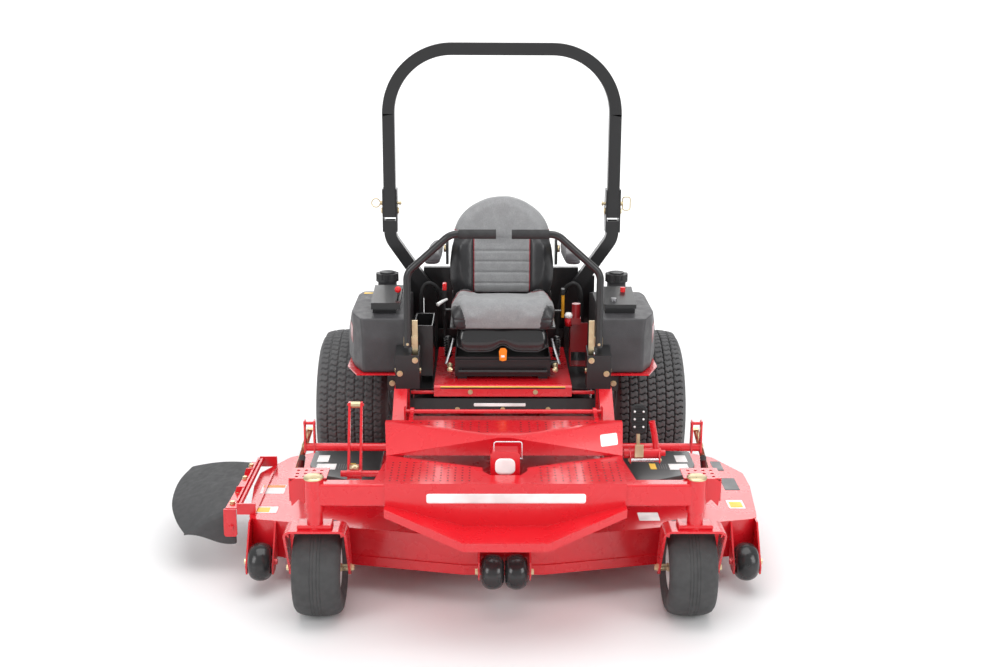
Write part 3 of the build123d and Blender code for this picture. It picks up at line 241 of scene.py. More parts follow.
def outward(mesh):
    """Turns every face of a mesh outward."""
    build = bmesh.new()
    build.from_mesh(mesh)
    bmesh.ops.recalc_face_normals(build, faces=build.faces)
    build.to_mesh(mesh)
    build.free()


def piece(name, group, material, body, slot=None, smooth=True, node=None):
    """A mesh piece of (points in millimetres, faces) on a body; node is the CAD node it stands for."""
    points, faces = group
    mesh = bpy.data.meshes.new(name)
    mesh.from_pydata([at(*p) for p in points], [], faces)
    made = placed(name, mesh)
    mesh.materials.append(material)
    outward(mesh)
    for face in mesh.polygons:
        face.use_smooth = smooth
    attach(made, body)
    if node:
        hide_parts(node)
    return made


def bevelled(made, width=1.0, segments=2):
    """Rounds the edges a little, and keeps the flat faces flat to the light."""
    bevel = made.modifiers.new("edges", "BEVEL")
    bevel.width = width * MM
    bevel.segments = segments
    bevel.limit_method = "ANGLE"
    bevel.angle_limit = math.radians(35)
    made.modifiers.new("flat", "WEIGHTED_NORMAL").keep_sharp = False
    return made


def solid(name, group, material, body, width=1.0, segments=2, **more):
    """A hard piece: flat faces with rounded edges."""
    return bevelled(piece(name, group, material, body, smooth=False, **more), width, segments)


def smoothed(made, levels=2):
    """Subdivides a piece smoothly."""
    smooth = made.modifiers.new("smooth", "SUBSURF")
    smooth.levels = levels
    smooth.render_levels = levels
    return made


def thick(made, depth, offset=-1.0):
    """Gives a one-sided skin its thickness."""
    skin = made.modifiers.new("thickness", "SOLIDIFY")
    skin.thickness = depth * MM
    skin.offset = offset
    return made


def mirrored(route, side):
    """A route on the left as given, or its mirror image on the right."""
    return [(side * x, y, z) for x, y, z in route]


def grid_faces(rows, columns, start=0):
    """The quads of a sheet of points laid out row by row."""
    corners = (start + i * columns + k for i in range(rows - 1) for k in range(columns - 1))
    return [(a, a + 1, a + columns + 1, a + columns) for a in corners]


def ring_faces(rings, around):
    """The quads between closed rings of points, laid out ring by ring."""
    places = ((ring * around, k, (k + 1) % around) for ring in range(rings - 1) for k in range(around))
    return [(start + k, start + after, start + around + after, start + around + k)
            for start, k, after in places]


def cuboid(x0, x1, y0, y1, z0, z1):
    """A box's points and faces."""
    points = [(x, y, z) for x in (x0, x1) for y in (y0, y1) for z in (z0, z1)]
    return points, [(0, 1, 3, 2), (4, 6, 7, 5), (0, 4, 5, 1), (2, 3, 7, 6), (0, 2, 6, 4), (1, 5, 7, 3)]


def lathe(profile, centre, axis, steps):
    """Turns a closed line of (along, radius) points round an axis through the centre."""
    points, faces = [], []
    count = len(profile)
    for step in range(steps):
        angle = 2 * math.pi * step / steps
        for along, radius in profile:
            a, b = radius * math.cos(angle), radius * math.sin(angle)
            off = {"X": (along, a, b), "Y": (a, along, b), "Z": (a, b, along)}[axis]
            points.append(tuple(c + o for c, o in zip(centre, off)))
    for step in range(steps):
        here, there = step * count, (step + 1) % steps * count
        for i in range(count):
            j = (i + 1) % count
            faces.append((here + i, here + j, there + j, there + i))
    return points, faces


def frames_along(route):
    """A point, a normal and a second normal at each point of a route, turning as little as may be."""
    route = [Vector(p) for p in route]
    tangents = []
    for i, _ in enumerate(route):
        tangents.append((route[min(i + 1, len(route) - 1)] - route[max(i - 1, 0)]).normalized())
    normal = tangents[0].orthogonal().normalized()
    made = []
    for point, tangent in zip(route, tangents):
        normal = (normal - tangent * normal.dot(tangent)).normalized()
        made.append((point, normal, tangent.cross(normal)))
    return made


def curve_points(route, steps=8):
    """A smooth line through the route's points (Catmull-Rom), in steps between each two."""
    route = [Vector(p) for p in route]
    count = len(route)
    made = []
    for i in range(count - 1):
        a, b, c, d = route[max(i - 1, 0)], route[i], route[i + 1], route[min(i + 2, count - 1)]
        for step in range(steps):
            t = step / steps
            made.append(0.5 * (2 * b + (c - a) * t + (2 * a - 5 * b + 4 * c - d) * t * t
                               + (3 * b - a - 3 * c + d) * t ** 3))
    return made + [route[-1]]


def tube(route, radius, sides=12):
    """A round tube along a route; radius may be one number or a function of the share travelled."""
    rings = frames_along(route)
    points = []
    for i, (point, first, second) in enumerate(rings):
        size = radius(i / (len(rings) - 1)) if callable(radius) else radius
        for k in range(sides):
            angle = 2 * math.pi * k / sides
            points.append(tuple(point + size * (math.cos(angle) * first + math.sin(angle) * second)))
    faces = ring_faces(len(rings), sides)
    faces.append(tuple(reversed(range(sides))))
    faces.append(tuple(range((len(rings) - 1) * sides, len(rings) * sides)))
    return points, faces


def prism(outline, direction, depth):
    """An outline of 3-D points, carried along a direction by depth."""
    move = Vector(direction).normalized() * depth
    points = [tuple(p) for p in outline] + [tuple(Vector(p) + move) for p in outline]
    count = len(outline)
    faces = [tuple(range(count)), tuple(reversed(range(count, 2 * count)))]
    faces += [(i, (i + 1) % count, (i + 1) % count + count, i + count) for i in range(count)]
    return points, faces


BOLT_SIDES = 24


def bolt_head(centre, axis, radius=8.0, height=5.5):
    """A flanged hexagon head standing on a face."""
    along = Vector(axis).normalized()
    first = along.orthogonal().normalized()
    second = along.cross(first)
    rings = [(radius * 1.25, 0, False), (radius * 1.25, 1.6, False), (radius * 1.02, 2.4, False)]
    rings += [(radius, 2.5, True), (radius, height - 0.8, True), (radius * 0.86, height, False),
              (0.01, height, False)]
    points = []
    for size, up, hexagon in rings:
        for k in range(BOLT_SIDES):
            angle = 2 * math.pi * k / BOLT_SIDES
            reach = size
            if hexagon:
                reach = size * math.cos(math.pi / 6) / math.cos((angle % (math.pi / 3)) - math.pi / 6)
            point = Vector(centre) + along * up + reach * (math.cos(angle) * first + math.sin(angle) * second)
            points.append(tuple(point))
    faces = ring_faces(len(rings), BOLT_SIDES)
    faces.append(tuple(reversed(range(BOLT_SIDES))))
    return points, faces


# ---------------------------------------------------------------- finishes of the CAD parts
def local(point):
    """A frame point as millimetres off the centre line, the rear axle and the ground."""
    return (point.x - CENTRE_X) / MM, (point.y - AXLE_Y) / MM, point.z / MM


def box_of(node):
    """A CAD node's middle, half width along X and half height, in millimetres."""
    low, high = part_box(node)
    return local((low + high) / 2), (high.x - low.x) / 2 / MM, (high.z - low.z) / 2 / MM


def finish_node(name, *materials, width=1.2, pick=None):
    """A CAD node's finish and softened edges; pick(x, y, z) chooses a material for each face's middle."""
    made = NODES[name]
    mesh = made.data
    mesh.materials.clear()
    for one in materials:
        mesh.materials.append(one)
    for face in mesh.polygons:
        face.use_smooth = True
        face.material_index = int(pick(*local(face.center))) if pick else 0
    weld = made.modifiers.new("weld", "WELD")
    weld.merge_threshold = 0.02 * MM
    bevelled(made, width)


def within(*box):
    """A test of whether a place, mirrored to the left, is inside the box x0, x1, y0, y1, z0, z1."""
    x0, x1, y0, y1, z0, z1 = box
    return lambda x, y, z: x0 <= abs(x) <= x1 and y0 <= y <= y1 and z0 <= z <= z1


# nodes of one material, by the width of their rounded edges
PLAIN_NODES = {
    0.4: {"rops_lock_pins": ZINC},
    0.7: {"fasteners": ZINC},
    0.8: {"lever_hub_left": ZINC, "lever_hub_right": ZINC},
    1.0: {"front_nose": RED, "footplate": RED, "drive_belt": HOSE},
    1.2: {"main_frame": RED, "deck_shell": RED, "rear_guard": BLACK, "seat_slide": BLACK, "battery": PLASTIC,
          "muffler": HOT_STEEL, "clutch_pulley": STEEL, "spindle_housings": CAST, "blade_spindle_left": STEEL,
          "blade_spindle_centre": STEEL, "blade_spindle_right": STEEL},
    1.5: {"belt_covers": BLACK, "engine_block": CAST, "hydraulic_drives": CAST},
    1.6: {"rops_base": BLACK},
    2.0: {"fuel_cap_left": PLASTIC, "fuel_cap_right": PLASTIC},
}
for width, group in PLAIN_NODES.items():
    for name, material in group.items():
        finish_node(name, material, width=width)

WHEEL_Z = 330
seat_spring = within(139, 177, -611, -179, 631.2, 650)
front_axle_nut = within(92.1, 120, -1340, -1280, 110, 180)
side_axle_nut = within(922.1, 960, -1190, -1140, 80, 150)
console_knob = within(465, 487, -482, -458, 950, 970)
console_switch = within(420, 444, -572, -548, 936, 950)
wheel_nuts = within(612.6, 640, -80, 80, 250, 410)

finish_node("footplate_catch", RED, CHROME, width=0.8, pick=lambda x, y, z: z > 591 or x > 50.5)
finish_node("deck_lift_pedal", RED, ZINC, pick=within(508, 540, -1112, -1080, 666, 700))
finish_node("tank_brackets", RED, DARK_RED, pick=lambda x, y, z: 270 < x < 355)
finish_node("seat_deck", RED, ZINC, BLACK, width=1.0,
            pick=lambda x, y, z: 1 if y < -706.2 else 2 * seat_spring(x, y, z))
finish_node("roller_brackets", RED, ZINC, width=0.9, pick=lambda *c: front_axle_nut(*c) or side_axle_nut(*c))
finish_node("chute_frame", RED, ZINC, width=0.8, pick=lambda x, y, z: 262.1 < z < 272 and abs(x + 1000) < 16)
finish_node("lever_towers", BLACK, ZINC, pick=within(0, 200, -720, -700.1, 520, 560))
finish_node("rops_hoop", BLACK, ZINC, width=2.6,
            pick=lambda x, y, z: abs(z - 1198) < 20 and abs(abs(x) - 472.6) > 25.6)
finish_node("control_consoles", BLACK, RED_PLASTIC, STEEL,
            pick=lambda x, y, z: 1 if z > 950 and console_knob(x, y, z) else 2 * console_switch(x, y, z))
finish_node("throttle_lever", BLACK, RED_PLASTIC, pick=lambda x, y, z: z > 959)
finish_node("engine_shroud", PLASTIC, BLACK, width=1.5, pick=within(0, 340, 29, 36, 690, 950))
finish_node("deck_links", ZINC, BLACK, width=1.0, pick=within(740, 806, -866, -696, 262, 420))
for title, _ in SIDES:
    finish_node(f"drive_rim_{title}", RIM, ZINC,
                pick=lambda x, y, z: wheel_nuts(x, y, z) and math.hypot(y, z - WHEEL_Z) > 50)


# ---------------------------------------------------------------- drive tyres
TREAD_ROWS = 7
TREAD_WIDTH = 38.0
TREAD_PITCHES = 72
TREAD_DEPTH = 9.0
SHOULDER = TREAD_ROWS * TREAD_WIDTH / 2


def tread_height(across, turn):
    """How far the tread stands up at a place: slanted wavy blocks in staggered rows."""
    place = across / TREAD_WIDTH + TREAD_ROWS / 2
    row = min(max(math.floor(place), 0), TREAD_ROWS - 1)
    u = place - row - 0.5
    v = (turn * TREAD_PITCHES + 0.5 * (row % 2) + 0.26 * u + 0.07 * math.sin(4 * math.pi * u)) % 1 - 0.5
    edge = min((0.455 - abs(u)) * 1.3, 0.41 - abs(v))
    return TREAD_DEPTH * min(max(edge / 0.07, 0), 1) ** 0.7


def groove_floor(radius, across):
    """The radius at the bottom of the tread, which falls away to the shoulders."""
    return radius - TREAD_DEPTH - 15 * abs(across / SHOULDER) ** 3.2


def drive_tyre(title, side):
    """The turf tyre: a carcass with its tread raised from the same skin, and painted shade on its groove
    floors.
    """
    middle, _, radius = box_of(f"drive_tyre_{title}")
    profile = [(-118, 152), (-128, 158), (-141, 192), (-150, 222), (-152, 250), (-149, 276), (-142, 294)]
    crown = [(x, groove_floor(radius, x)) for x in np.linspace(-SHOULDER, SHOULDER, 88)]
    inner = [(104, 152), (124, 196), (134, 240), (130, 276), (106, 296), (0, 306), (-106, 296),
             (-130, 276), (-134, 240), (-124, 196), (-104, 152)]
    outline = profile + crown + [(-x, r) for x, r in reversed(profile)] + inner
    steps = TREAD_PITCHES * 10
    points, faces = lathe(outline, (0, 0, 0), "X", steps)
    raised = []
    for index, (x, y, z) in enumerate(points):
        step, ring = divmod(index, len(outline))
        if len(profile) <= ring < len(profile) + len(crown):
            r = math.hypot(y, z)
            grow = (r + tread_height(x, step / steps)) / r
            y, z = y * grow, z * grow
        raised.append((x * side + middle[0], y + middle[1], z + middle[2]))
    node = f"drive_tyre_{title}"
    made = piece(f"turf_tyre_{title}", (raised, faces), TYRE, f"drive_wheel_{title}", node=node)
    # faces low in the grooves get the near-black rubber: painted shade in the tread
    made.data.materials.append(PAINTED_SHADE)
    for face in made.data.polygons:
        x, y, z = local(face.center)
        across = x * side - middle[0]
        limit = groove_floor(radius, across) + 0.35 * TREAD_DEPTH
        in_groove_shade = math.hypot(y - middle[1], z - middle[2]) < limit
        face.material_index = int(in_groove_shade and abs(across) < SHOULDER)


for title, side in SIDES:
    drive_tyre(title, side)


# ---------------------------------------------------------------- caster wheels
def caster_wheel(title):
    """The smooth caster tyre with fine ribs round it, on its own rim and hub."""
    node = f"caster_wheel_{title}"
    middle, _, radius = box_of(node)
    outline = [(-64, 80), (-70, 86), (-77, 100), (-82, 118), (-82.5, 130), (-80, 142), (-73, 152)]
    wall = len(outline)
    for x in np.linspace(-64, 64, 129):
        crown = radius - 0.5 - 8.5 * abs(x / 66) ** 3
        outline.append((x, crown - (1.6 if round(abs(x)) in (6, 7, 16, 17) else 0)))
    outline += [(-x, r) for x, r in reversed(outline[:wall])]
    piece(f"caster_tyre_{title}", lathe(outline, middle, "X", 128), CASTER, node, node=node)
    rim = [(-66, 82), (-66, 72), (-58, 68), (-40, 66), (-10, 64), (-8, 30), (-60, 28), (-60, 8.5), (60, 8.5),
           (60, 28), (8, 30), (10, 64), (40, 66), (58, 68), (66, 72), (66, 82), (60, 80), (0, 78), (-60, 80)]
    bevelled(piece(f"caster_rim_{title}", lathe(rim, middle, "X", 72), RIM, node, node=node))


for title, _ in SIDES:
    caster_wheel(title)


# ---------------------------------------------------------------- seat
CLOTH_PRESSURE = 4.0
CLOTH_STEPS = 20


def evaluated(made):
    """The object's mesh with its modifiers applied."""
    bpy.context.view_layer.update()
    return bpy.data.meshes.new_from_object(made.evaluated_get(bpy.context.evaluated_depsgraph_get()))


def baked(made):
    """Applies the object's modifiers to its mesh."""
    mesh = evaluated(made)
    made.modifiers.clear()
    made.data = mesh
    return made


def remeshed(made, voxel):
    """Adds a voxel remesh, its voxel in millimetres."""
    remesh = made.modifiers.new("remesh", "REMESH")
    remesh.mode = "VOXEL"
    remesh.voxel_size = voxel * MM


def relaxed(made, rounds):
    """Adds a smoothing of the points."""
    made.modifiers.new("relax", "SMOOTH").iterations = rounds


def vectors(items, field):
    """A field of a mesh's vertices as rows of three numbers."""
    found = np.zeros(len(items) * 3)
    items.foreach_get(field, found)
    return found.reshape(-1, 3)


def inflated(points, faces, voxel, cap, settle=6):
    """A stuffed form: the plain closed shape, remeshed and blown up by a cloth simulation."""
    mesh = bpy.data.meshes.new("stuffing")
    mesh.from_pydata([at(*p) for p in points], [], faces)
    outward(mesh)
    made = placed("stuffing", mesh)
    remeshed(made, voxel)
    relaxed(made, settle)
    baked(made)
    rest = vectors(made.data.vertices, "co")
    cloth = made.modifiers.new("cloth", "CLOTH")
    cloth.settings.use_pressure = True
    cloth.settings.uniform_pressure_force = CLOTH_PRESSURE
    cloth.settings.effector_weights.gravity = 0
    cloth.settings.quality = 5
    for step in range(1, CLOTH_STEPS + 1):
        bpy.context.scene.frame_set(step)
    move = vectors(evaluated(made).vertices, "co") - rest
    far = np.linalg.norm(move, axis=1, keepdims=True)
    made.modifiers.clear()
    capped = rest + move * np.minimum(1, cap * MM / np.maximum(far, 1e-9))
    made.data.vertices.foreach_set("co", capped.ravel())
    bpy.context.scene.frame_set(1)
    relaxed(made, 4)
    smoothed(made, 1)
    baked(made)
    mesh = made.data
    bpy.data.objects.remove(made)
    return mesh


def sunk(mesh, depth_at):
    """Moves each point inward by depth_at(x, y, z) millimetres."""
    normals = vectors(mesh.vertices, "normal")
    spots = vectors(mesh.vertices, "co")
    depths = np.array([depth_at(*local(Vector(p))) for p in spots]) * MM
    mesh.vertices.foreach_set("co", (spots - normals * depths[:, None]).ravel())
    mesh.update()


def dip(distance, width, depth):
    """The section of a seam: deepest on its line."""
    return depth * math.exp(-(distance / width) ** 2)


def tree_of(mesh):
    """The mesh's faces, ready for casting rays."""
    return BVHTree.FromPolygons([v.co for v in mesh.vertices], [f.vertices for f in mesh.polygons])


def piping(name, mesh, starts, direction, lift, body):
    """Red piping along the line where rays from the starts meet the mesh."""
    tree = tree_of(mesh)
    line = []
    for start in starts:
        hit, normal, _, _ = tree.ray_cast(at(*start), Vector(direction))
        if hit:
            line.append(local(hit + Vector(normal) * lift * MM))
    piece(name, tube(line, 2.0, 8), PIPING, body)


def coloured(mesh, materials, pick):
    """Gives the mesh its materials; pick(x, y, z, normal) chooses one for each face."""
    for one in materials:
        mesh.materials.append(one)
    for face in mesh.polygons:
        face.use_smooth = True
        face.material_index = int(pick(*local(face.center), face.normal))


def soft_piece(name, mesh, body, node):
    """A padded piece that stands for its CAD node."""
    made = placed(name, mesh)
    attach(made, body)
    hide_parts(node)


def between(value, table):
    """Straight-line interpolation in a table of (place, value) pairs."""
    return float(np.interp(value, [row[0] for row in table], [row[1] for row in table]))


def smooth_step(value):
    """0 below 0, 1 above 1, and a smooth rise between."""
    value = min(max(value, 0), 1)
    return value * value * (3 - 2 * value)


def closed_below(points, faces, columns, rows, floor):
    """Closes an open shell of rows and columns with walls down to the floor and a flat base."""
    rim = list(range(columns)) + [i * columns + columns - 1 for i in range(1, rows)]
    rim += [(rows - 1) * columns + k for k in range(columns - 2, -1, -1)]
    rim += [i * columns for i in range(rows - 2, 0, -1)]
    start = len(points)
    points = points + [(points[i][0] * 0.97, points[i][1], floor) for i in rim]
    count = len(rim)
    for k in range(count):
        faces.append((rim[k], rim[(k + 1) % count], start + (k + 1) % count, start + k))
    faces.append(tuple(range(start, start + count)))
    return points, faces


# the width of the bottom cushion's grey centre, by the distance along its top and down its front
CENTRE_WIDTH = [(232, 118), (300, 128), (340, 150), (400, 192), (440, 206), (500, 208), (550, 200),
                (600, 178), (632, 158), (670, 146), (730, 141)]
FRONT_Y = -604
FRONT_Z = 938


def cushion_edge(x, y, z):
    """How far a place on the bottom cushion is outside the grey centre's edge."""
    along = -y if y > FRONT_Y else -FRONT_Y + (FRONT_Z - z)
    return abs(x) - between(along, CENTRE_WIDTH)


def seat_bottom():
    """The bottom cushion: a crowned form with raised sides and a rolled front lip."""
    floor = local(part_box("seat_cushion")[0])[2] + 0.3
    rows = [(-236, 874, 190), (-300, 886, 206), (-380, 897, 212), (-460, 910, 213), (-540, 926, 211),
            (-592, 932, 206), (-618, 924, 202), (-632, 898, 198), (-636, 862, 192), (-633, 834, 186),
            (-622, 827, 182)]
    points = []
    columns = 21
    for y, z, half in rows:
        for k in range(columns):
            share = -1 + 2 * k / (columns - 1)
            side_rise = smooth_step((abs(share) - 0.50) / 0.3) * (12 + 15 * smooth_step((y + 470) / 130))
            side_rise *= 1 if y > -560 else 0.3
            drop = 34 * max(0, abs(share) - 0.82) / 0.18 * abs(share)
            crown = 8 * (1 - share * share)
            front = 1 if z > 850 else 0
            points.append((half * share, y, z + front * (side_rise + crown - drop)))
    faces = grid_faces(len(rows), columns)
    mesh = inflated(*closed_below(points, faces, columns, len(rows), floor), 6.0, 7.0)
    sunk(mesh, lambda x, y, z: dip(cushion_edge(x, y, z), 5, 3.2) if z > 850 else 0)
    sunk(mesh, lambda x, y, z: dip(z - 872, 4, 2.4) if abs(x) > 150 else 0)
    coloured(mesh, [CLOTH, COVER],
             lambda x, y, z, n: cushion_edge(x, y, z) > 0 or z < 824 or n.z < -0.6 or n.y > 0.5)
    soft_piece("seat_bottom_cushion", mesh, "seat_top", "seat_cushion")
    for title, side in SIDES:
        starts = [(side * between(t, CENTRE_WIDTH), -t, 1000) for t in range(250, 441, 6)]
        piping(f"seat_bottom_piping_{title}", mesh, starts, (0, 0, -1), 0.6, "seat_top")


BACK_PIVOT = (-215, 880)
BACK_LEAN = math.radians(8)
PANEL_HALF = 116
CHANNELS = (924, 969, 1014, 1058)
HEAD_Z = 1112
TOP_Z = 1288


def turned(x, y, z, angle):
    """A place turned by an angle about the back's hinge."""
    dy, dz = y - BACK_PIVOT[0], z - BACK_PIVOT[1]
    c, s = math.cos(angle), math.sin(angle)
    return x, BACK_PIVOT[0] + c * dy + s * dz, BACK_PIVOT[1] - s * dy + c * dz


def leant(x, y, z):
    """A place on the upright back, leant about the hinge."""
    return turned(x, y, z, BACK_LEAN)


def upright(x, y, z):
    """A place on the leant back, set upright."""
    return turned(x, y, z, -BACK_LEAN)


def head_line(x):
    """The height of the seam between the bolsters and the head."""
    return HEAD_Z + 0.42 * max(0, abs(x) - PANEL_HALF)


def back_half_width(z):
    """The back's half width at a height: straight sides, a slight waist and a round head."""
    if z < HEAD_Z:
        return between(z, [(878, 204), (930, 220), (1000, 223), (1070, 216), (HEAD_Z, 205)])
    rise = (z - HEAD_Z) / (TOP_Z - HEAD_Z)
    return 207 * math.sqrt(max(0.001, 1 - rise ** 2.05))


def back_seams(x, y, z):
    """How deep the back's seams and sewn channels are at a place."""
    x, y, z = upright(x, y, z)
    if y > -165:
        return dip(y + 138, 5, 2.0)
    depth = dip(abs(x) - PANEL_HALF, 5, 4.0) if z < HEAD_Z + 8 else 0
    if abs(x) < PANEL_HALF:
        depth += max(dip(z - line, 5, 3.6) for line in CHANNELS)
    return depth + dip(z - head_line(x), 5, 3.0) * (1 if abs(x) > PANEL_HALF - 4 else 0.35)


def back_cover(x, y, z, normal):
    """Whether a place on the back is black cover, not grey cloth."""
    x, y, z = upright(x, y, z)
    if y > -160 or abs(x) > back_half_width(z) - 7:
        return True
    return abs(x) > PANEL_HALF and z < head_line(x)


def seat_back():
    """The back cushion: bulging side bolsters, a channelled centre and a round padded head."""
    heights = list(np.linspace(878, HEAD_Z, 24))
    heights += [HEAD_Z + (TOP_Z - HEAD_Z) * math.sin(a) for a in np.linspace(0.08, 1.57, 24)]
    shares = np.linspace(-1, 1, 29)
    columns, rows = len(shares), len(heights)
    points = []
    for front in (True, False):
        for z in heights:
            half = back_half_width(z)
            for share in shares:
                x = half * share
                edge = max(0, abs(share) - 0.80) / 0.20
                if front:
                    bolster = 24 * smooth_step((abs(x) - 96) / 44) * smooth_step((1130 - z) / 50)
                    head = 12 * smooth_step((z - 1090) / 50)
                    y = -198 - bolster - head - 6 * (1 - share ** 2) + 36 * edge ** 2
                else:
                    y = -112 - 26 * edge ** 2 - 14 * smooth_step((z - 1200) / 90)
                points.append(leant(x, y, z))
    far = rows * columns
    faces = grid_faces(rows, columns) + grid_faces(rows, columns, far)
    for i in range(rows - 1):
        for k in (0, columns - 1):
            a = i * columns + k
            faces.append((a, a + columns, far + a + columns, far + a))
    for k in range(columns - 1):
        for i in (0, rows - 1):
            a = i * columns + k
            faces.append((a, a + 1, far + a + 1, far + a))
    mesh = inflated(points, faces, 6.0, 7.0)
    sunk(mesh, back_seams)
    coloured(mesh, [CLOTH, COVER], back_cover)
    soft_piece("seat_back_cushion", mesh, "seat_back", "seat_back")
    backward = (0, math.cos(BACK_LEAN), -math.sin(BACK_LEAN))
    for title, side in SIDES:
        starts = [leant(side * PANEL_HALF, -400, z) for z in np.linspace(882, HEAD_Z, 46)]
        piping(f"back_piping_{title}", mesh, starts, backward, 0.7, "seat_back")
        starts = [leant(side * x, -400, head_line(x)) for x in np.linspace(PANEL_HALF, 197, 24)]
        piping(f"head_piping_{title}", mesh, starts, backward, 0.7, "seat_back")


def rounded(share, power):
    """A cosine or sine made squarer by a power below one."""
    return math.copysign(abs(share) ** power, share)


def armrest(title, side):
    """An armrest pad: a soft tapering form, round at its front."""
    rings = [(-136, 1060, 1090, 26), (-150, 1042, 1096, 32), (-200, 1034, 1098, 35), (-300, 1040, 1101, 36),
             (-400, 1048, 1103, 36), (-450, 1054, 1103, 34), (-470, 1062, 1100, 28), (-477, 1070, 1094, 18)]
    points = []
    around = 20
    for y, z0, z1, half in rings:
        for k in range(around):
            a = 2 * math.pi * k / around
            up = rounded(math.sin(a), 0.6)
            width = half * (0.80 - 0.24 * up)
            x = side * (246 + width + width * rounded(math.cos(a), 0.6))
            points.append((x, y, (z0 + z1) / 2 + (z1 - z0) / 2 * up))
    faces = ring_faces(len(rings), around)
    faces.append(tuple(range(around)))
    faces.append(tuple(reversed(range((len(rings) - 1) * around, len(rings) * around))))
    mesh = inflated(points, faces, 4.0, 2.5, settle=3)
    sunk(mesh, lambda x, y, z: dip(z - 1066 + 0.03 * (y + 300), 3, 1.6))
    coloured(mesh, [ARM_COVER], lambda *place: 0)
    soft_piece(f"armrest_pad_{title}", mesh, f"armrest_{title}", f"armrest_{title}")


seat_bottom()
seat_back()
for title, side in SIDES:
    armrest(title, side)


# ---------------------------------------------------------------- seat pan, its skirt and the belt
def valance_bottom(x, y):
    """The height of the skirt's lower edge: two hanging lobes with a notch between them."""
    if y > -585:
        return 756 + 0.12 * (y + 585)
    return 741 + 26 * math.exp(-(x / 34) ** 2) + 15 * smooth_step((abs(x) - 132) / 40)


def valance():
    """The glossy skirt under the cushion's front, carried back along both sides."""
    side_x, front_y, top, corner = 176, -612, 834, 26
    route = [(-side_x, -240 - 20 * k) for k in range(17)]
    route += [(-side_x + corner - corner * math.cos(a), front_y + corner - corner * math.sin(a))
              for a in np.linspace(0.1, 1.57, 8)]
    route += [(x, front_y) for x in range(-138, 1, 6)]
    route += [(-x, y) for x, y in reversed(route[:-1])]
    points = []
    rows = 9
    for x, y in route:
        low = valance_bottom(x, y)
        for k in range(rows):
            share = k / (rows - 1)
            bulge = 5 * math.sin(math.pi * share) - 9 * (1 - share)
            swell = 1 + bulge / 180
            points.append((x * swell, -300 + (y + 300) * swell, top + (low - top) * share))
    skirt = piece("seat_valance", (points, grid_faces(len(route), rows)), GLOSS_BLACK, "seat_top",
                  "seat_vinyl", node="seat_pan")
    smoothed(thick(skirt, 3), 1)
    piece("seat_valance_hem", tube(points[rows - 1::rows], 2.6, 8), COVER, "seat_top")


def seat_pan():
    """The steel plate under the cushion and the recline brackets behind it."""
    solid("seat_pan_plate", cuboid(-206, 206, -604, -224, 828, 837.5), BLACK, "seat_top", 3, node="seat_pan")
    corners = ((-229, 836), (-201, 836), (-201, 880), (-208, 892), (-222, 892), (-229, 880))
    ear = [(201, y, z) for y, z in corners]
    for title, side in SIDES:
        solid(f"recline_ear_{title}", prism(mirrored(ear, side), (side, 0, 0), 5), BLACK, "seat_top")


def belt_parts():
    """The belt's sleeved stalk on the left, its buckle on the right, and the white recline handle."""
    for name, box, material, width, segments in (
            ("belt_stalk_sleeve", (243, 255, -334, -306, 806, 902), YELLOW, 3, 3),
            ("belt_stalk_head", (240, 256, -338, -302, 902, 926), PLASTIC, 3, 3),
            ("belt_stalk_arm", (204, 250, -330, -310, 829, 836), BLACK, 1, 2),
            ("belt_buckle", (-245, -224, -324, -284, 872, 926), PLASTIC, 4, 3),
            ("belt_buckle_button", (-243, -226, -327, -290, 918, 946), RED_PLASTIC, 4, 3),
            ("belt_buckle_strap", (-238, -231, -316, -292, 812, 876), COVER, 1, 2),
            ("belt_buckle_arm", (-238, -204, -316, -292, 829, 836), BLACK, 1, 2)):
        slot = "black_plastic" if material == COVER else None
        solid(name, cuboid(*box), material, "seat_top", width, segments, slot=slot, node="seat_pan")
    release = [(-260, -420, 882), (-251, -411, 886), (-236, -392, 892), (-222, -376, 894)]
    grip = tube(release, lambda t: 8.5 - 3 * t, 10)
    smoothed(bevelled(piece("recline_handle", grip, WHITE, "seat_top", node="seat_pan"), 2), 1)


def weight_tag():
    """The orange tag in front of the tray, with its blank patch."""
    outline = [(14, -632, 712), (16, -632, 752), (9, -632, 761), (-9, -632, 760), (-15, -632, 748),
               (-13, -632, 712), (0, -632, 708)]
    solid("weight_tag", prism(outline, (0, -1, 0), 2.4), ORANGE, "seat_slider", 0.8)
    piece("weight_tag_patch", cuboid(-7, 7, -634.8, -634.4, 724, 732), WHITE, "seat_slider", smooth=False)


def side_links(title, side):
    """One side's silver link, damper, spring and clamps on the seat's slide."""
    body = "seat_slider"
    link = curve_points(mirrored([(192, -556, 778), (204, -584, 742), (222, -612, 690)], side))
    piece(f"suspension_link_{title}", tube(link, 6, 12), STEEL, body)
    damper = mirrored([(214, -500, 690), (214, -520, 776)], side)
    piece(f"suspension_damper_{title}", tube(damper, 12, 20), BLACK, body)
    turns = []
    for share, angle in ((k / 96, k / 96 * 14 * math.pi) for k in range(97)):
        turns.append((214 + 15 * math.cos(angle), -500 - 20 * share + 15 * math.sin(angle), 690 + 80 * share))
    piece(f"suspension_spring_{title}", tube(mirrored(turns, side), 2.0, 8), GLOSS_BLACK, body)
    for k, y in enumerate((-612, -588)):
        nut = bolt_head((side * 206, y, 668 + 10 * k), (0, -1, 0.4), 9, 8)
        piece(f"slide_clamp_{title}_{k}", nut, ZINC, body)


valance()
seat_pan()
belt_parts()
weight_tag()
for title, side in SIDES:
    side_links(title, side)


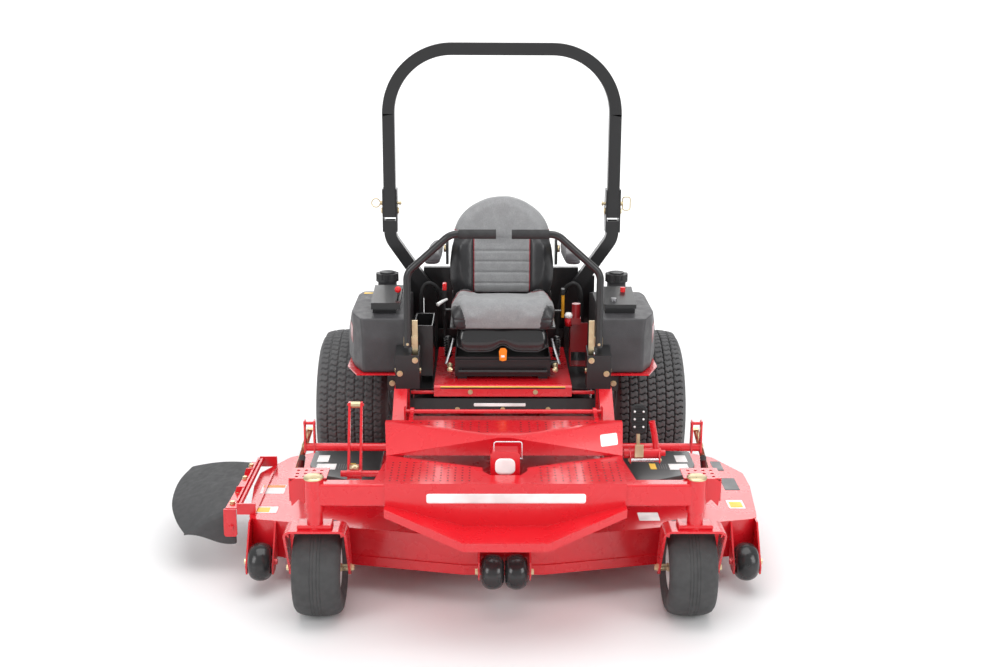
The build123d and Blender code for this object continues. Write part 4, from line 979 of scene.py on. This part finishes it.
# ---------------------------------------------------------------- armrest brackets
def armrest_bracket(title, side):
    """The black hinge plate between the back cushion and the armrest, with its pivot bolt."""
    corners = ((-186, 1000), (-128, 996), (-124, 1080), (-146, 1112), (-176, 1104), (-192, 1060))
    outline = mirrored([leant(222, y, z) for y, z in corners], side)
    solid(f"armrest_bracket_{title}", prism(outline, (side, 0, 0), 11), BLACK, "seat_back", 2, 3,
          node="seat_back")
    start = 233 if side > 0 else -242
    boss = lathe([(0, 0.1), (0, 15), (9, 15), (9, 0.1)], (start, -165, 1062), "X", 32)
    piece(f"armrest_pivot_{title}", boss, ZINC, "seat_back")


for title, side in SIDES:
    armrest_bracket(title, side)


# ---------------------------------------------------------------- tanks, levers, hoses
TANK_FLOOR = 677
TANK_CROWN = 885
TANK_SIDE = 540
HOSE_Y = -90


def tank_skin(x, y, z):
    """Where a point of the CAD tank lies on the moulding: flatter on top and lower behind the cap."""
    if z > TANK_CROWN:
        z = TANK_CROWN + (z - TANK_CROWN) * 0.25
    fall = min(max((y + 262) / 420, 0), 1)
    z = TANK_FLOOR + (z - TANK_FLOOR) * (1 - 0.45 * fall)
    outer = abs(x)
    if outer > TANK_SIDE:
        outer = TANK_SIDE + (outer - TANK_SIDE) * 0.78
    return math.copysign(outer, x), y, z


def moulded(name, node):
    """A tank with the soft edges and the slight waviness of a moulding."""
    made = placed(name, NODES[node].data.copy())
    remeshed(made, 6.0)
    baked(made)
    for vertex in made.data.vertices:
        vertex.co = at(*tank_skin(*local(vertex.co)))
    relaxed(made, 8)
    baked(made)
    made.data.materials.clear()
    coloured(made.data, [TANK], lambda *place: 0)
    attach(made, "chassis")
    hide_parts(node)
    NODES[name] = made


def tank_top(title, side):
    """The filler neck under the cap and the black foot of the raised plate, which paints the shadow gap under
    the plate.
    """
    neck = lathe([(-8, 46), (2, 46), (5, 39), (55, 38), (55, 30)], (side * 468, -300, 898), "Z", 40)
    piece(f"filler_neck_{title}", neck, TANK, "chassis")
    x0, x1 = (396, 512) if side > 0 else (-504, -415)
    # painted shade: the foot is a black wedge that fills the shadow gap under the raised plate
    outline = [(x0, -592, 882), (x0, -426, 890), (x0, -426, 939), (x0, -592, 908)]
    solid(f"console_shade_foot_{title}", prism(outline, (1, 0, 0), x1 - x0), BLACK, "chassis", slot="black_plastic")


for title, side in SIDES:
    moulded(f"moulded_tank_{title}", f"fuel_tank_{title}")
    tank_top(title, side)
    finish_node(f"steering_lever_{title}", BLACK, GRIP, width=1.0,
                pick=lambda x, y, z: z > 1205 and abs(x) < 167)


def hoses(title, side):
    """The suction hose arched beside the roll bar's leg and the thin cable down from the tower."""
    arch = [(240, 500), (240, 600), (240, 700), (247, 800), (268, 868), (304, 896), (333, 876), (344, 800),
            (346, 700), (346, 502)]
    arch = [(x, HOSE_Y, z) for x, z in arch]
    fall = [(430, -695, 655), (436, -692, 620), (437, -690, 585), (432, -687, 545), (423, -684, 515),
            (418.5, -681, 492)]
    for name, route, radius, sides in (("suction_hose", arch, 8.6, 16), ("brake_cable", fall, 3.4, 12)):
        piece(f"{name}_{title}", tube(curve_points(mirrored(route, side)), radius, sides), HOSE, "chassis",
              node="hydraulic_hoses")
    for k, z in enumerate((520, 528)):
        collar = lathe([(-6, 8.6), (-6, 11.5), (6, 11.5), (6, 8.6)], (side * 240, HOSE_Y, z), "Z", 24)
        piece(f"hose_collar_{title}_{k}", collar, ZINC, "chassis")


for title, side in SIDES:
    hoses(title, side)


# ---------------------------------------------------------------- chute flap
def chute_flap():
    """One drooping sheet of rubber: out from its steel strip, down at the front, sagging at the tip."""
    high = local(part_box("chute_flap")[1])
    root_x, root_z = high[0] - 2, high[2] - 1.0
    edge = [(-1270, -462, 206), (-1292, -580, 199), (-1288, -703, 192), (-1266, -830, 182),
            (-1224, -936, 165), (-1184, -994, 147)]
    edge = curve_points(edge, steps=7)
    across, fold_steps, hang_steps = 17, 5, 6
    points = []
    for i, tip in enumerate(edge):
        v = i / (len(edge) - 1)
        root = Vector((root_x, -554 - 444 * v, root_z))
        for k in range(across):
            u = k / (across - 1)
            spot = root.lerp(tip, u)
            spot.z += 13 * math.sin(math.pi * u) - 2 * u * math.sin(7 * v)
            points.append(tuple(spot))
    front = points[-across:]
    for step in range(1, fold_steps + hang_steps + 1):
        turn = min(step / fold_steps, 1) * math.pi / 2
        for k, (x, y, z) in enumerate(front):
            u = k / (across - 1)
            radius = 22 - 19 * u ** 3
            fall = radius * (1 - math.cos(turn))
            if step > fold_steps:
                hem = 110 + 34 * u - 8 * math.sin(2 * math.pi * u)
                fall += max(z - radius - hem, 2) * (step - fold_steps) / hang_steps
            points.append((x, y - radius * math.sin(turn) + 0.10 * fall, z - fall))
    sheet = (points, grid_faces(len(points) // across, across))
    smoothed(thick(piece("rubber_flap", sheet, FLAP, "chute", node="chute_flap"), 6, 0), 1)


chute_flap()


# ---------------------------------------------------------------- labels, all of them blank
BACK, DOWN = (0, 1, 0), (0, 0, -1)


def patch(name, node, corner, width, height, direction, material, lift=0.5, corner_r=4.0, body="chassis"):
    """A thin rounded label laid on a node's face: rays are cast along direction from a flat grid."""
    tree = tree_of(NODES[node].data)
    across, up = Vector(width), Vector(height)
    half_width, half_height = across.length / 2, up.length / 2
    middle = Vector(corner) + (across + up) / 2
    corner_r = min(corner_r, half_width, half_height)
    ends = [half_width - corner_r * (1 - math.sin(a)) for a in np.linspace(0, math.pi / 2, 6)]
    places = [-x for x in reversed(ends)] + list(np.linspace(-ends[0], ends[0], 15)[1:-1]) + ends
    rows = 9
    points = []
    for x in places:
        past = max(0, abs(x) - (half_width - corner_r))
        reach = half_height - corner_r + math.sqrt(max(corner_r ** 2 - past ** 2, 0))
        for j in range(rows):
            spot = middle + across.normalized() * x + up.normalized() * reach * (2 * j / (rows - 1) - 1)
            hit, normal, _, _ = tree.ray_cast(at(*spot), Vector(direction))
            if hit is None:
                print("no face under", name)
                return
            if normal.dot(Vector(direction)) > 0:
                normal = -normal
            points.append(local(hit + normal * lift * MM))
    sheet = (points, grid_faces(len(places), rows))
    thick(piece(name, sheet, material, body, "black_plastic"), 0.4, 0)


def front_labels():
    """Plain shapes on the upright faces at the front."""
    for name, node, corner, width, height, corner_r, body in (
            ("nose_band", "front_nose", (-262, -1600, 452), 528, 34, 8, "chassis"),
            ("panel_stripe", "lever_towers", (-112, -760, 546), 200, 13, 4, "chassis"),
            ("footplate_mark", "footplate", (340, -1300, 545), 62, 26, 4, "footplate"),
            ("catch_badge", "footplate_catch", (-34, -1400, 508), 68, 58, 20, "chassis")):
        patch(name, node, corner, (width, 0, 0), (0, 0, height), BACK, WHITE, corner_r=corner_r, body=body)


def deck_labels():
    """Plain shapes on the deck's top: name, right front corner, size along X and Y, material, lift."""
    for name, x, y, width, depth, material, lift in (
            ("deck_label_right", -918, -1024, 84, 62, WHITE, 0.5),
            ("deck_mark_right", -906, -1014, 44, 42, LABEL_YELLOW, 0.9),
            ("deck_stripe_right", -928, -838, 92, 92, WHITE, 0.5),
            ("deck_band_right", -924, -776, 84, 24, ORANGE, 0.9),
            ("deck_label_left", 492, -1094, 76, 76, WHITE, 0.5),
            ("deck_label_outer", 840, -982, 62, 82, WHITE, 0.5),
            ("deck_mark_outer", 848, -970, 46, 52, LABEL_YELLOW, 0.9),
            ("deck_grey_outer", 858, -800, 58, 124, LABEL_GREY, 0.5),
            ("deck_grey_inner", 852, -594, 40, 104, LABEL_GREY, 0.5)):
        patch(name, "deck_shell", (x, y, 300), (width, 0, 0), (0, depth, 0), DOWN, material, lift,
              body="deck")


def platform_strips():
    """The black and yellow strips on the front edge of the seat platform."""
    for name, z, height, material in (("platform_black_strip", 619, 5, BLACK),
                                      ("platform_yellow_strip", 624.5, 2.5, LABEL_YELLOW)):
        patch(name, "seat_deck", (-240, -760, z), (480, 0, 0), (0, 0, height), BACK, material,
              corner_r=0.5, body="seat_platform")


def cover_labels(title, side):
    """Plain shapes on one belt cover, and the red one on the tank's outer side."""
    rows = [(f"cover_label_{title}", 640, -816, 74, 62, WHITE, 1),
            (f"cover_badge_{title}", 676, -734, 44, 74, WHITE, 1),
            (f"cover_mark_{title}", 566, -812, 24, 62, LABEL_YELLOW, 1)]
    rows += [(f"cover_line_{title}_{line}", 600 + 9 * line, -812, 3, 56, GREY_PLASTIC, 0.5)
             for line in range(4)]
    for name, x, y, width, depth, material, corner_r in rows:
        patch(name, "belt_covers", (side * x, y, 400), (side * width, 0, 0), (0, depth, 0), DOWN, material,
              corner_r=corner_r, body="deck")
    patch(f"tank_label_{title}", f"moulded_tank_{title}", (side * 700, -588, 768), (0, 78, 0), (0, 0, 74),
          (-side, 0, 0), DARK_RED, 1.0)


front_labels()
deck_labels()
platform_strips()
for title, side in SIDES:
    cover_labels(title, side)
patch("tank_note", "moulded_tank_right", (-564, -308, 1000), (36, 0, 0), (0, 24, 0), DOWN, LABEL_YELLOW)


# ---------------------------------------------------------------- small parts at the front
def oval(x0, x1, z0, z1):
    """A rounded upright outline in the X-Z plane."""
    found = []
    for k in range(40):
        a = 2 * math.pi * k / 40
        found.append(((x0 + x1) / 2 + (x1 - x0) / 2 * rounded(math.cos(a), 0.62),
                      (z0 + z1) / 2 + (z1 - z0) / 2 * rounded(math.sin(a), 0.62)))
    return found


def pad_y(z):
    """The front of the brake pedal's leaning pad at a height."""
    return -1006 + 0.13 * (z - 540)


def brake_pedal():
    """The oval rubber pad with its ribs and studs, on a red sleeve over a bright rod."""
    def on(name, group, material, width=1.2, slot=None):
        solid(name, group, material, "brake_pedal", width, 3, slot=slot, node="brake_pedal")

    outline = [(x, pad_y(z), z) for x, z in oval(459, 521, 541, 649)]
    on("pedal_pad", prism(outline, (0, 1, 0), 12), HOSE, 4)
    for k in range(9):
        z = 556 + 10 * k
        half = 23 if 0 < k < 8 else 17
        rib = cuboid(490 - half, 490 + half, pad_y(z) - 2.4, pad_y(z) + 2, z - 2.4, z + 2.4)
        on(f"pedal_rib_{k}", rib, PLASTIC, 0.8, "rubber")
    for i, x in enumerate((474, 506)):
        for j, z in enumerate((568, 596, 624)):
            disc = lathe([(0, 0.1), (0, 4.2), (-2.6, 3.6), (-3.2, 0.1)], (x, pad_y(z) - 1, z), "Y", 20)
            piece(f"pedal_stud_{i}{j}", disc, WHITE, "brake_pedal")
    arm = [(483, y, z) for y, z in ((-1016, 470), (-998, 470), (-982, 565), (-994, 565))]
    on("pedal_arm", prism(arm, (1, 0, 0), 12), ZINC)
    on("pedal_bracket", cuboid(474, 506, -1036, -1029, 462, 510), ZINC)
    on("pedal_sleeve", lathe([(0, 12), (0, 19), (136, 19), (136, 12)], (436, -1010, 470), "X", 40), RED, 1)
    on("pedal_handle", tube([(556, -1006, 484), (548, -1001, 535), (537, -998, 588)], 11.6, 24), RED, 1)
    rod = lathe([(0, 0.1), (0, 6.5), (104, 6.5), (104, 0.1)], (460, -1034, 452), "X", 24)
    on("pedal_rod", rod, CHROME, 0.8)
    cheek = ((-1044, 442), (-1024, 438), (-994, 460), (-994, 486), (-1016, 492), (-1044, 464))
    for k, (x, bolt_x, outward_x) in enumerate(((456, 456, -1), (562, 567, 1))):
        on(f"pedal_cheek_{k}", prism([(x, y, z) for y, z in cheek], (1, 0, 0), 5), RED)
        head = bolt_head((bolt_x, -1034, 452), (outward_x, 0, 0), 6, 5)
        piece(f"pedal_bolt_{k}", head, ZINC, "brake_pedal")


def reserve_cylinder():
    """The white-capped red cylinder beside the seat."""
    foot = (263, -480, 812)
    piece("reserve_cylinder", lathe([(0, 0.1), (0, 15), (34, 15), (34, 0.1)], foot, "Z", 32), RED, "chassis")
    cap = lathe([(34, 0.1), (34, 16.5), (46, 16.5), (52, 11), (53, 0.1)], foot, "Z", 32)
    piece("reserve_cylinder_cap", cap, WHITE, "chassis")


def lift_pedal_spacer():
    """The lower plated spacer of the lift pedal."""
    spacer = lathe([(-16, 4), (-16, 11), (16, 11), (16, 4)], (-524, -1190, 483), "X", 32)
    piece("lift_pedal_spacer", spacer, ZINC, "deck_lift_pedal")


brake_pedal()
reserve_cylinder()
lift_pedal_spacer()


# ---------------------------------------------------------------- deck lift tubes
def lift_tube(title, side):
    """The plated tube over the bar by which the deck hangs, with its jam nut."""
    top, foot = Vector((720.5, -867, 514)), Vector((812, -650, 258))
    route = [top.lerp(foot, share) for share in (0.03, 0.35, 0.36, 0.40, 0.41, 0.97)]
    bar = tube(mirrored(route, side), lambda t: 12.5 if 0.3 < t < 0.7 else 10.5, 20)
    piece(f"lift_tube_{title}", bar, ZINC, "deck")


for title, side in SIDES:
    lift_tube(title, side)


# ---------------------------------------------------------------- caster forks
CASTER_X = 636
CASTER_AXLE_Y = -1320
CASTER_AXLE_Z = 165
CASTER_STEM_Y = -1410


def fork_plate(centre):
    """The points and faces of the bent plate: up one side, over round shoulders and down the other."""
    reach, top, radius = 102, 352, 24
    route = [(-reach, z) for z in (141, 144, 148, 154, 160, CASTER_AXLE_Z, 180, 220, 270, 310, top - radius)]
    route += [(-reach + radius - radius * math.cos(a), top - radius + radius * math.sin(a))
              for a in np.linspace(0.15, math.pi / 2, 9)]
    route += [(x, top) for x in (-50, 0)]
    route += [(-x, z) for x, z in reversed(route[:-1])]
    points = []
    columns = 9
    for x, z in route:
        ahead = between(z, [(CASTER_AXLE_Z, -1344), (180, -1352), (top, -1452)])
        behind = between(z, [(CASTER_AXLE_Z, -1296), (180, -1292), (top, -1362)])
        if z < CASTER_AXLE_Z:
            half = math.sqrt(max(radius ** 2 - (CASTER_AXLE_Z - z) ** 2, 0.4))
            ahead, behind = CASTER_AXLE_Y - half, CASTER_AXLE_Y + half
        for k in range(columns):
            points.append((centre + x, ahead + (behind - ahead) * k / (columns - 1), z))
    return points, grid_faces(len(route), columns)


def caster_fork(title, side):
    """The bent-plate fork with its block, stem, cap, axle, spacers, nuts and ribs."""
    body = f"caster_fork_{title}"
    centre = CASTER_X * side
    stem_foot, axle_middle = (centre, CASTER_STEM_Y, 0), (centre, CASTER_AXLE_Y, CASTER_AXLE_Z)

    def on(name, group, material, width=1.0, smooth=False):
        bevelled(piece(f"fork_{name}_{title}", group, material, body, smooth=smooth, node=body), width)

    plate = piece(f"fork_plate_{title}", fork_plate(centre), RED, body, node=body)
    bevelled(thick(plate, 8, 0), 1.2)
    on("block", cuboid(centre - 58, centre + 58, -1438, -1374, 355, 371), RED, 4)
    stem = [(356, 0.1), (356, 30), (366, 27), (414, 26), (414, 19.8), (529, 19.8), (529, 0.1)]
    on("stem", lathe(stem, stem_foot, "Z", 48), RED)
    cap = [(529.3, 0.1), (529.3, 34), (533, 34), (536, 31), (537, 28), (540, 20), (541.5, 0.1)]
    on("cap", lathe(cap, stem_foot, "Z", 64), ZINC, 0.6, True)
    on("axle", lathe([(-108, 0.1), (-108, 7.9), (108, 7.9), (108, 0.1)], axle_middle, "X", 24), ZINC)
    spacer = [(60.4, 8), (60.4, 15), (72, 15), (74, 12), (97, 12), (97, 8)]
    rib = ((-1440, 346), (-1372, 346), (-1376, 330), (-1430, 330))
    for k, turn in enumerate((-1, 1)):
        on(f"spacer_{k}", lathe([(turn * x, r) for x, r in spacer], axle_middle, "X", 32), ZINC, 0.6)
        nut = bolt_head((centre + turn * 106, CASTER_AXLE_Y, CASTER_AXLE_Z), (turn, 0, 0), 11, 11)
        on(f"nut_{k}", nut, ZINC, 0.5)
        on(f"rib_{k}", prism([(centre + turn * 98, y, z) for y, z in rib], (-turn, 0, -0.6), 14), RED)


for title, side in SIDES:
    caster_fork(title, side)


# ---------------------------------------------------------------- punched holes
def punched(name, body, spots):
    """Small near-black discs in the punched holes of a red sheet: painted shade for the holes' dark insides.
    """
    angles = np.linspace(0, 2 * math.pi, 13)[:-1]
    points = [(x + 3.4 * math.cos(a), y + 3.4 * math.sin(a), z + 0.3) for x, y, z in spots for a in angles]
    faces = [tuple(range(start, start + 12)) for start in range(0, len(points), 12)]
    # painted shade: the discs take the near-black shade rubber
    piece(name, (points, faces), PAINTED_SHADE, body, smooth=False)


def punched_holes():
    """The grip pattern of the nose's top and of the footplate."""
    nose = [(turn * x, y, 521) for x in range(120, 391, 24) for y in range(-1412, -1230, 24)
            for turn in (1, -1) if y < -1180 - 0.36 * (414 - x)]
    punched("nose_holes", "chassis", nose)
    plate = [(turn * x, y, 590) for x in range(60, 331, 30) for y in range(-1140, -1010, 24)
             for turn in (1, -1) if y > -1158 + 0.38 * x]
    punched("footplate_holes", "footplate", plate)


punched_holes()


# ---------------------------------------------------------------- side and front rollers
def round_roller(name, node):
    """A moulded roller with full round shoulders, bored for its bolt."""
    middle, half, radius = box_of(node)
    outline = [(-half, 6.5)]
    for a in np.linspace(-math.pi / 2, math.pi / 2, 33):
        outline.append((half * math.sin(a), radius * (0.40 + 0.60 * abs(math.cos(a)) ** 0.72)))
    outline.append((half, 6.5))
    piece(name, lathe(outline, middle, "X", 72), ROLLER, node, node=node)


for title, _ in SIDES:
    round_roller(f"round_side_roller_{title}", f"side_roller_{title}")
    round_roller(f"round_front_roller_{title}", f"front_roller_{title}")


# ---------------------------------------------------------------- black sheets of painted shade seen between the parts
def shade_screens():
    """The black sheets under the seat platform and beside the heat shield: painted shade, standing in for the
    shaded engine bay and hoses seen through the gaps.
    """
    # painted shade: thin black sheets where the gaps would otherwise show the pale floor
    solid("under_seat_shade_sheet", cuboid(-352, 352, -648, -330, 522, 525), BLACK, "chassis")
    for title, x0, x1 in (("left", 338, 408), ("right", -408, -338)):
        solid(f"side_shade_screen_{title}", cuboid(x0, x1, 34, 38, 520, 905), BLACK, "chassis")


shade_screens()


# ---------------------------------------------------------------- gussets of the chute's frame
def chute_gussets():
    """Low gussets on the chute's steel strip, each with a bolt beside it."""
    floor = 262.2
    for k, y in enumerate((-690, -880)):
        outline = [(-972, y, floor), (-1012, y, floor), (-1004, y, floor + 24), (-976, y, floor + 24)]
        solid(f"chute_gusset_{k}", prism(outline, (0, 1, 0), 6), RED, "chute")
        piece(f"chute_gusset_bolt_{k}", bolt_head((-994, y + 26, floor), (0, 0, 1), 6, 6), ZINC, "chute")


chute_gussets()


# ---------------------------------------------------------------- stage, light and camera
# here lengths are metres in the frame
EYE = (0.0906, -4.7835, 2.058)
PITCH, YAW, ROLL = math.radians(14.88), math.radians(0.69), math.radians(0.27)
LENS, SENSOR_WIDTH = 45.0, 36.0


def stage():
    """A pale floor that runs back and curves up into a wall."""
    rows = [(-9.0, 0.0), (-3.0, 0.0), (4.0, 0.0), (9.0, 0.0), (11.0, 0.35), (12.4, 1.6), (13.0, 3.6),
            (13.0, 9.0)]
    smooth = curve_points([(0, y, z) for y, z in rows], steps=6)
    points = [Vector((x, p.y, max(p.z, 0))) for p in smooth for x in (-16, 16)]
    faces = [(2 * i, 2 * i + 1, 2 * i + 3, 2 * i + 2) for i in range(len(smooth) - 1)]
    mesh = bpy.data.meshes.new("studio_floor")
    mesh.from_pydata(points, [], faces)
    made = placed("studio_floor", mesh)
    paper = Surface("studio_paper", (0.90, 0.90, 0.905), 0.55)
    paper.bump(paper.noise(60, 2), 0.0002, 0.05)
    mesh.materials.append(paper.made)
    for face in mesh.polygons:
        face.use_smooth = True


def lamp(name, spot, target, size, power):
    """A rectangular soft light, facing its target."""
    data = bpy.data.lights.new(name, "AREA")
    data.shape = "RECTANGLE"
    data.size, data.size_y = size
    data.energy = power
    made = placed(name, data)
    made.location = spot
    made.rotation_euler = (Vector(target) - Vector(spot)).to_track_quat("-Z", "Y").to_euler()


def camera():
    """The view: eye height, slightly downward, from almost straight ahead."""
    ahead = Vector((math.sin(YAW) * math.cos(PITCH), math.cos(YAW) * math.cos(PITCH), -math.sin(PITCH)))
    level = Vector((math.cos(YAW), -math.sin(YAW), 0))
    upward = level.cross(ahead)
    right = math.cos(ROLL) * level + math.sin(ROLL) * upward
    top = -math.sin(ROLL) * level + math.cos(ROLL) * upward
    data = bpy.data.cameras.new("camera")
    data.lens, data.sensor_width = LENS, SENSOR_WIDTH
    made = placed("camera", data)
    turn = Matrix((right, top, -ahead)).transposed()
    made.matrix_world = Matrix.Translation(EYE) @ turn.to_4x4()
    bpy.context.scene.camera = made


stage()
lamp("overhead", (0.2, -0.6, 5.2), (0, 0, 0.6), (5.5, 4.0), 150)
lamp("front_left", (-4.2, -4.4, 3.0), (0, -0.3, 0.7), (2.6, 3.4), 115)
lamp("front_right", (4.4, -4.0, 2.8), (0, -0.3, 0.7), (2.6, 3.4), 115)
lamp("backdrop", (0, 6.2, 7.0), (0, 12.6, 1.4), (16.0, 2.0), 760)
lamp("back", (0, 5.5, 3.6), (0, 0.3, 0.8), (6.0, 2.6), 70)
world = bpy.data.worlds.new("studio")
world.use_nodes = True
world.node_tree.nodes["Background"].inputs["Color"].default_value = (1, 1, 1, 1)
world.node_tree.nodes["Background"].inputs["Strength"].default_value = 0.6
bpy.context.scene.world = world
bpy.context.scene.view_settings.view_transform = "Standard"
camera()
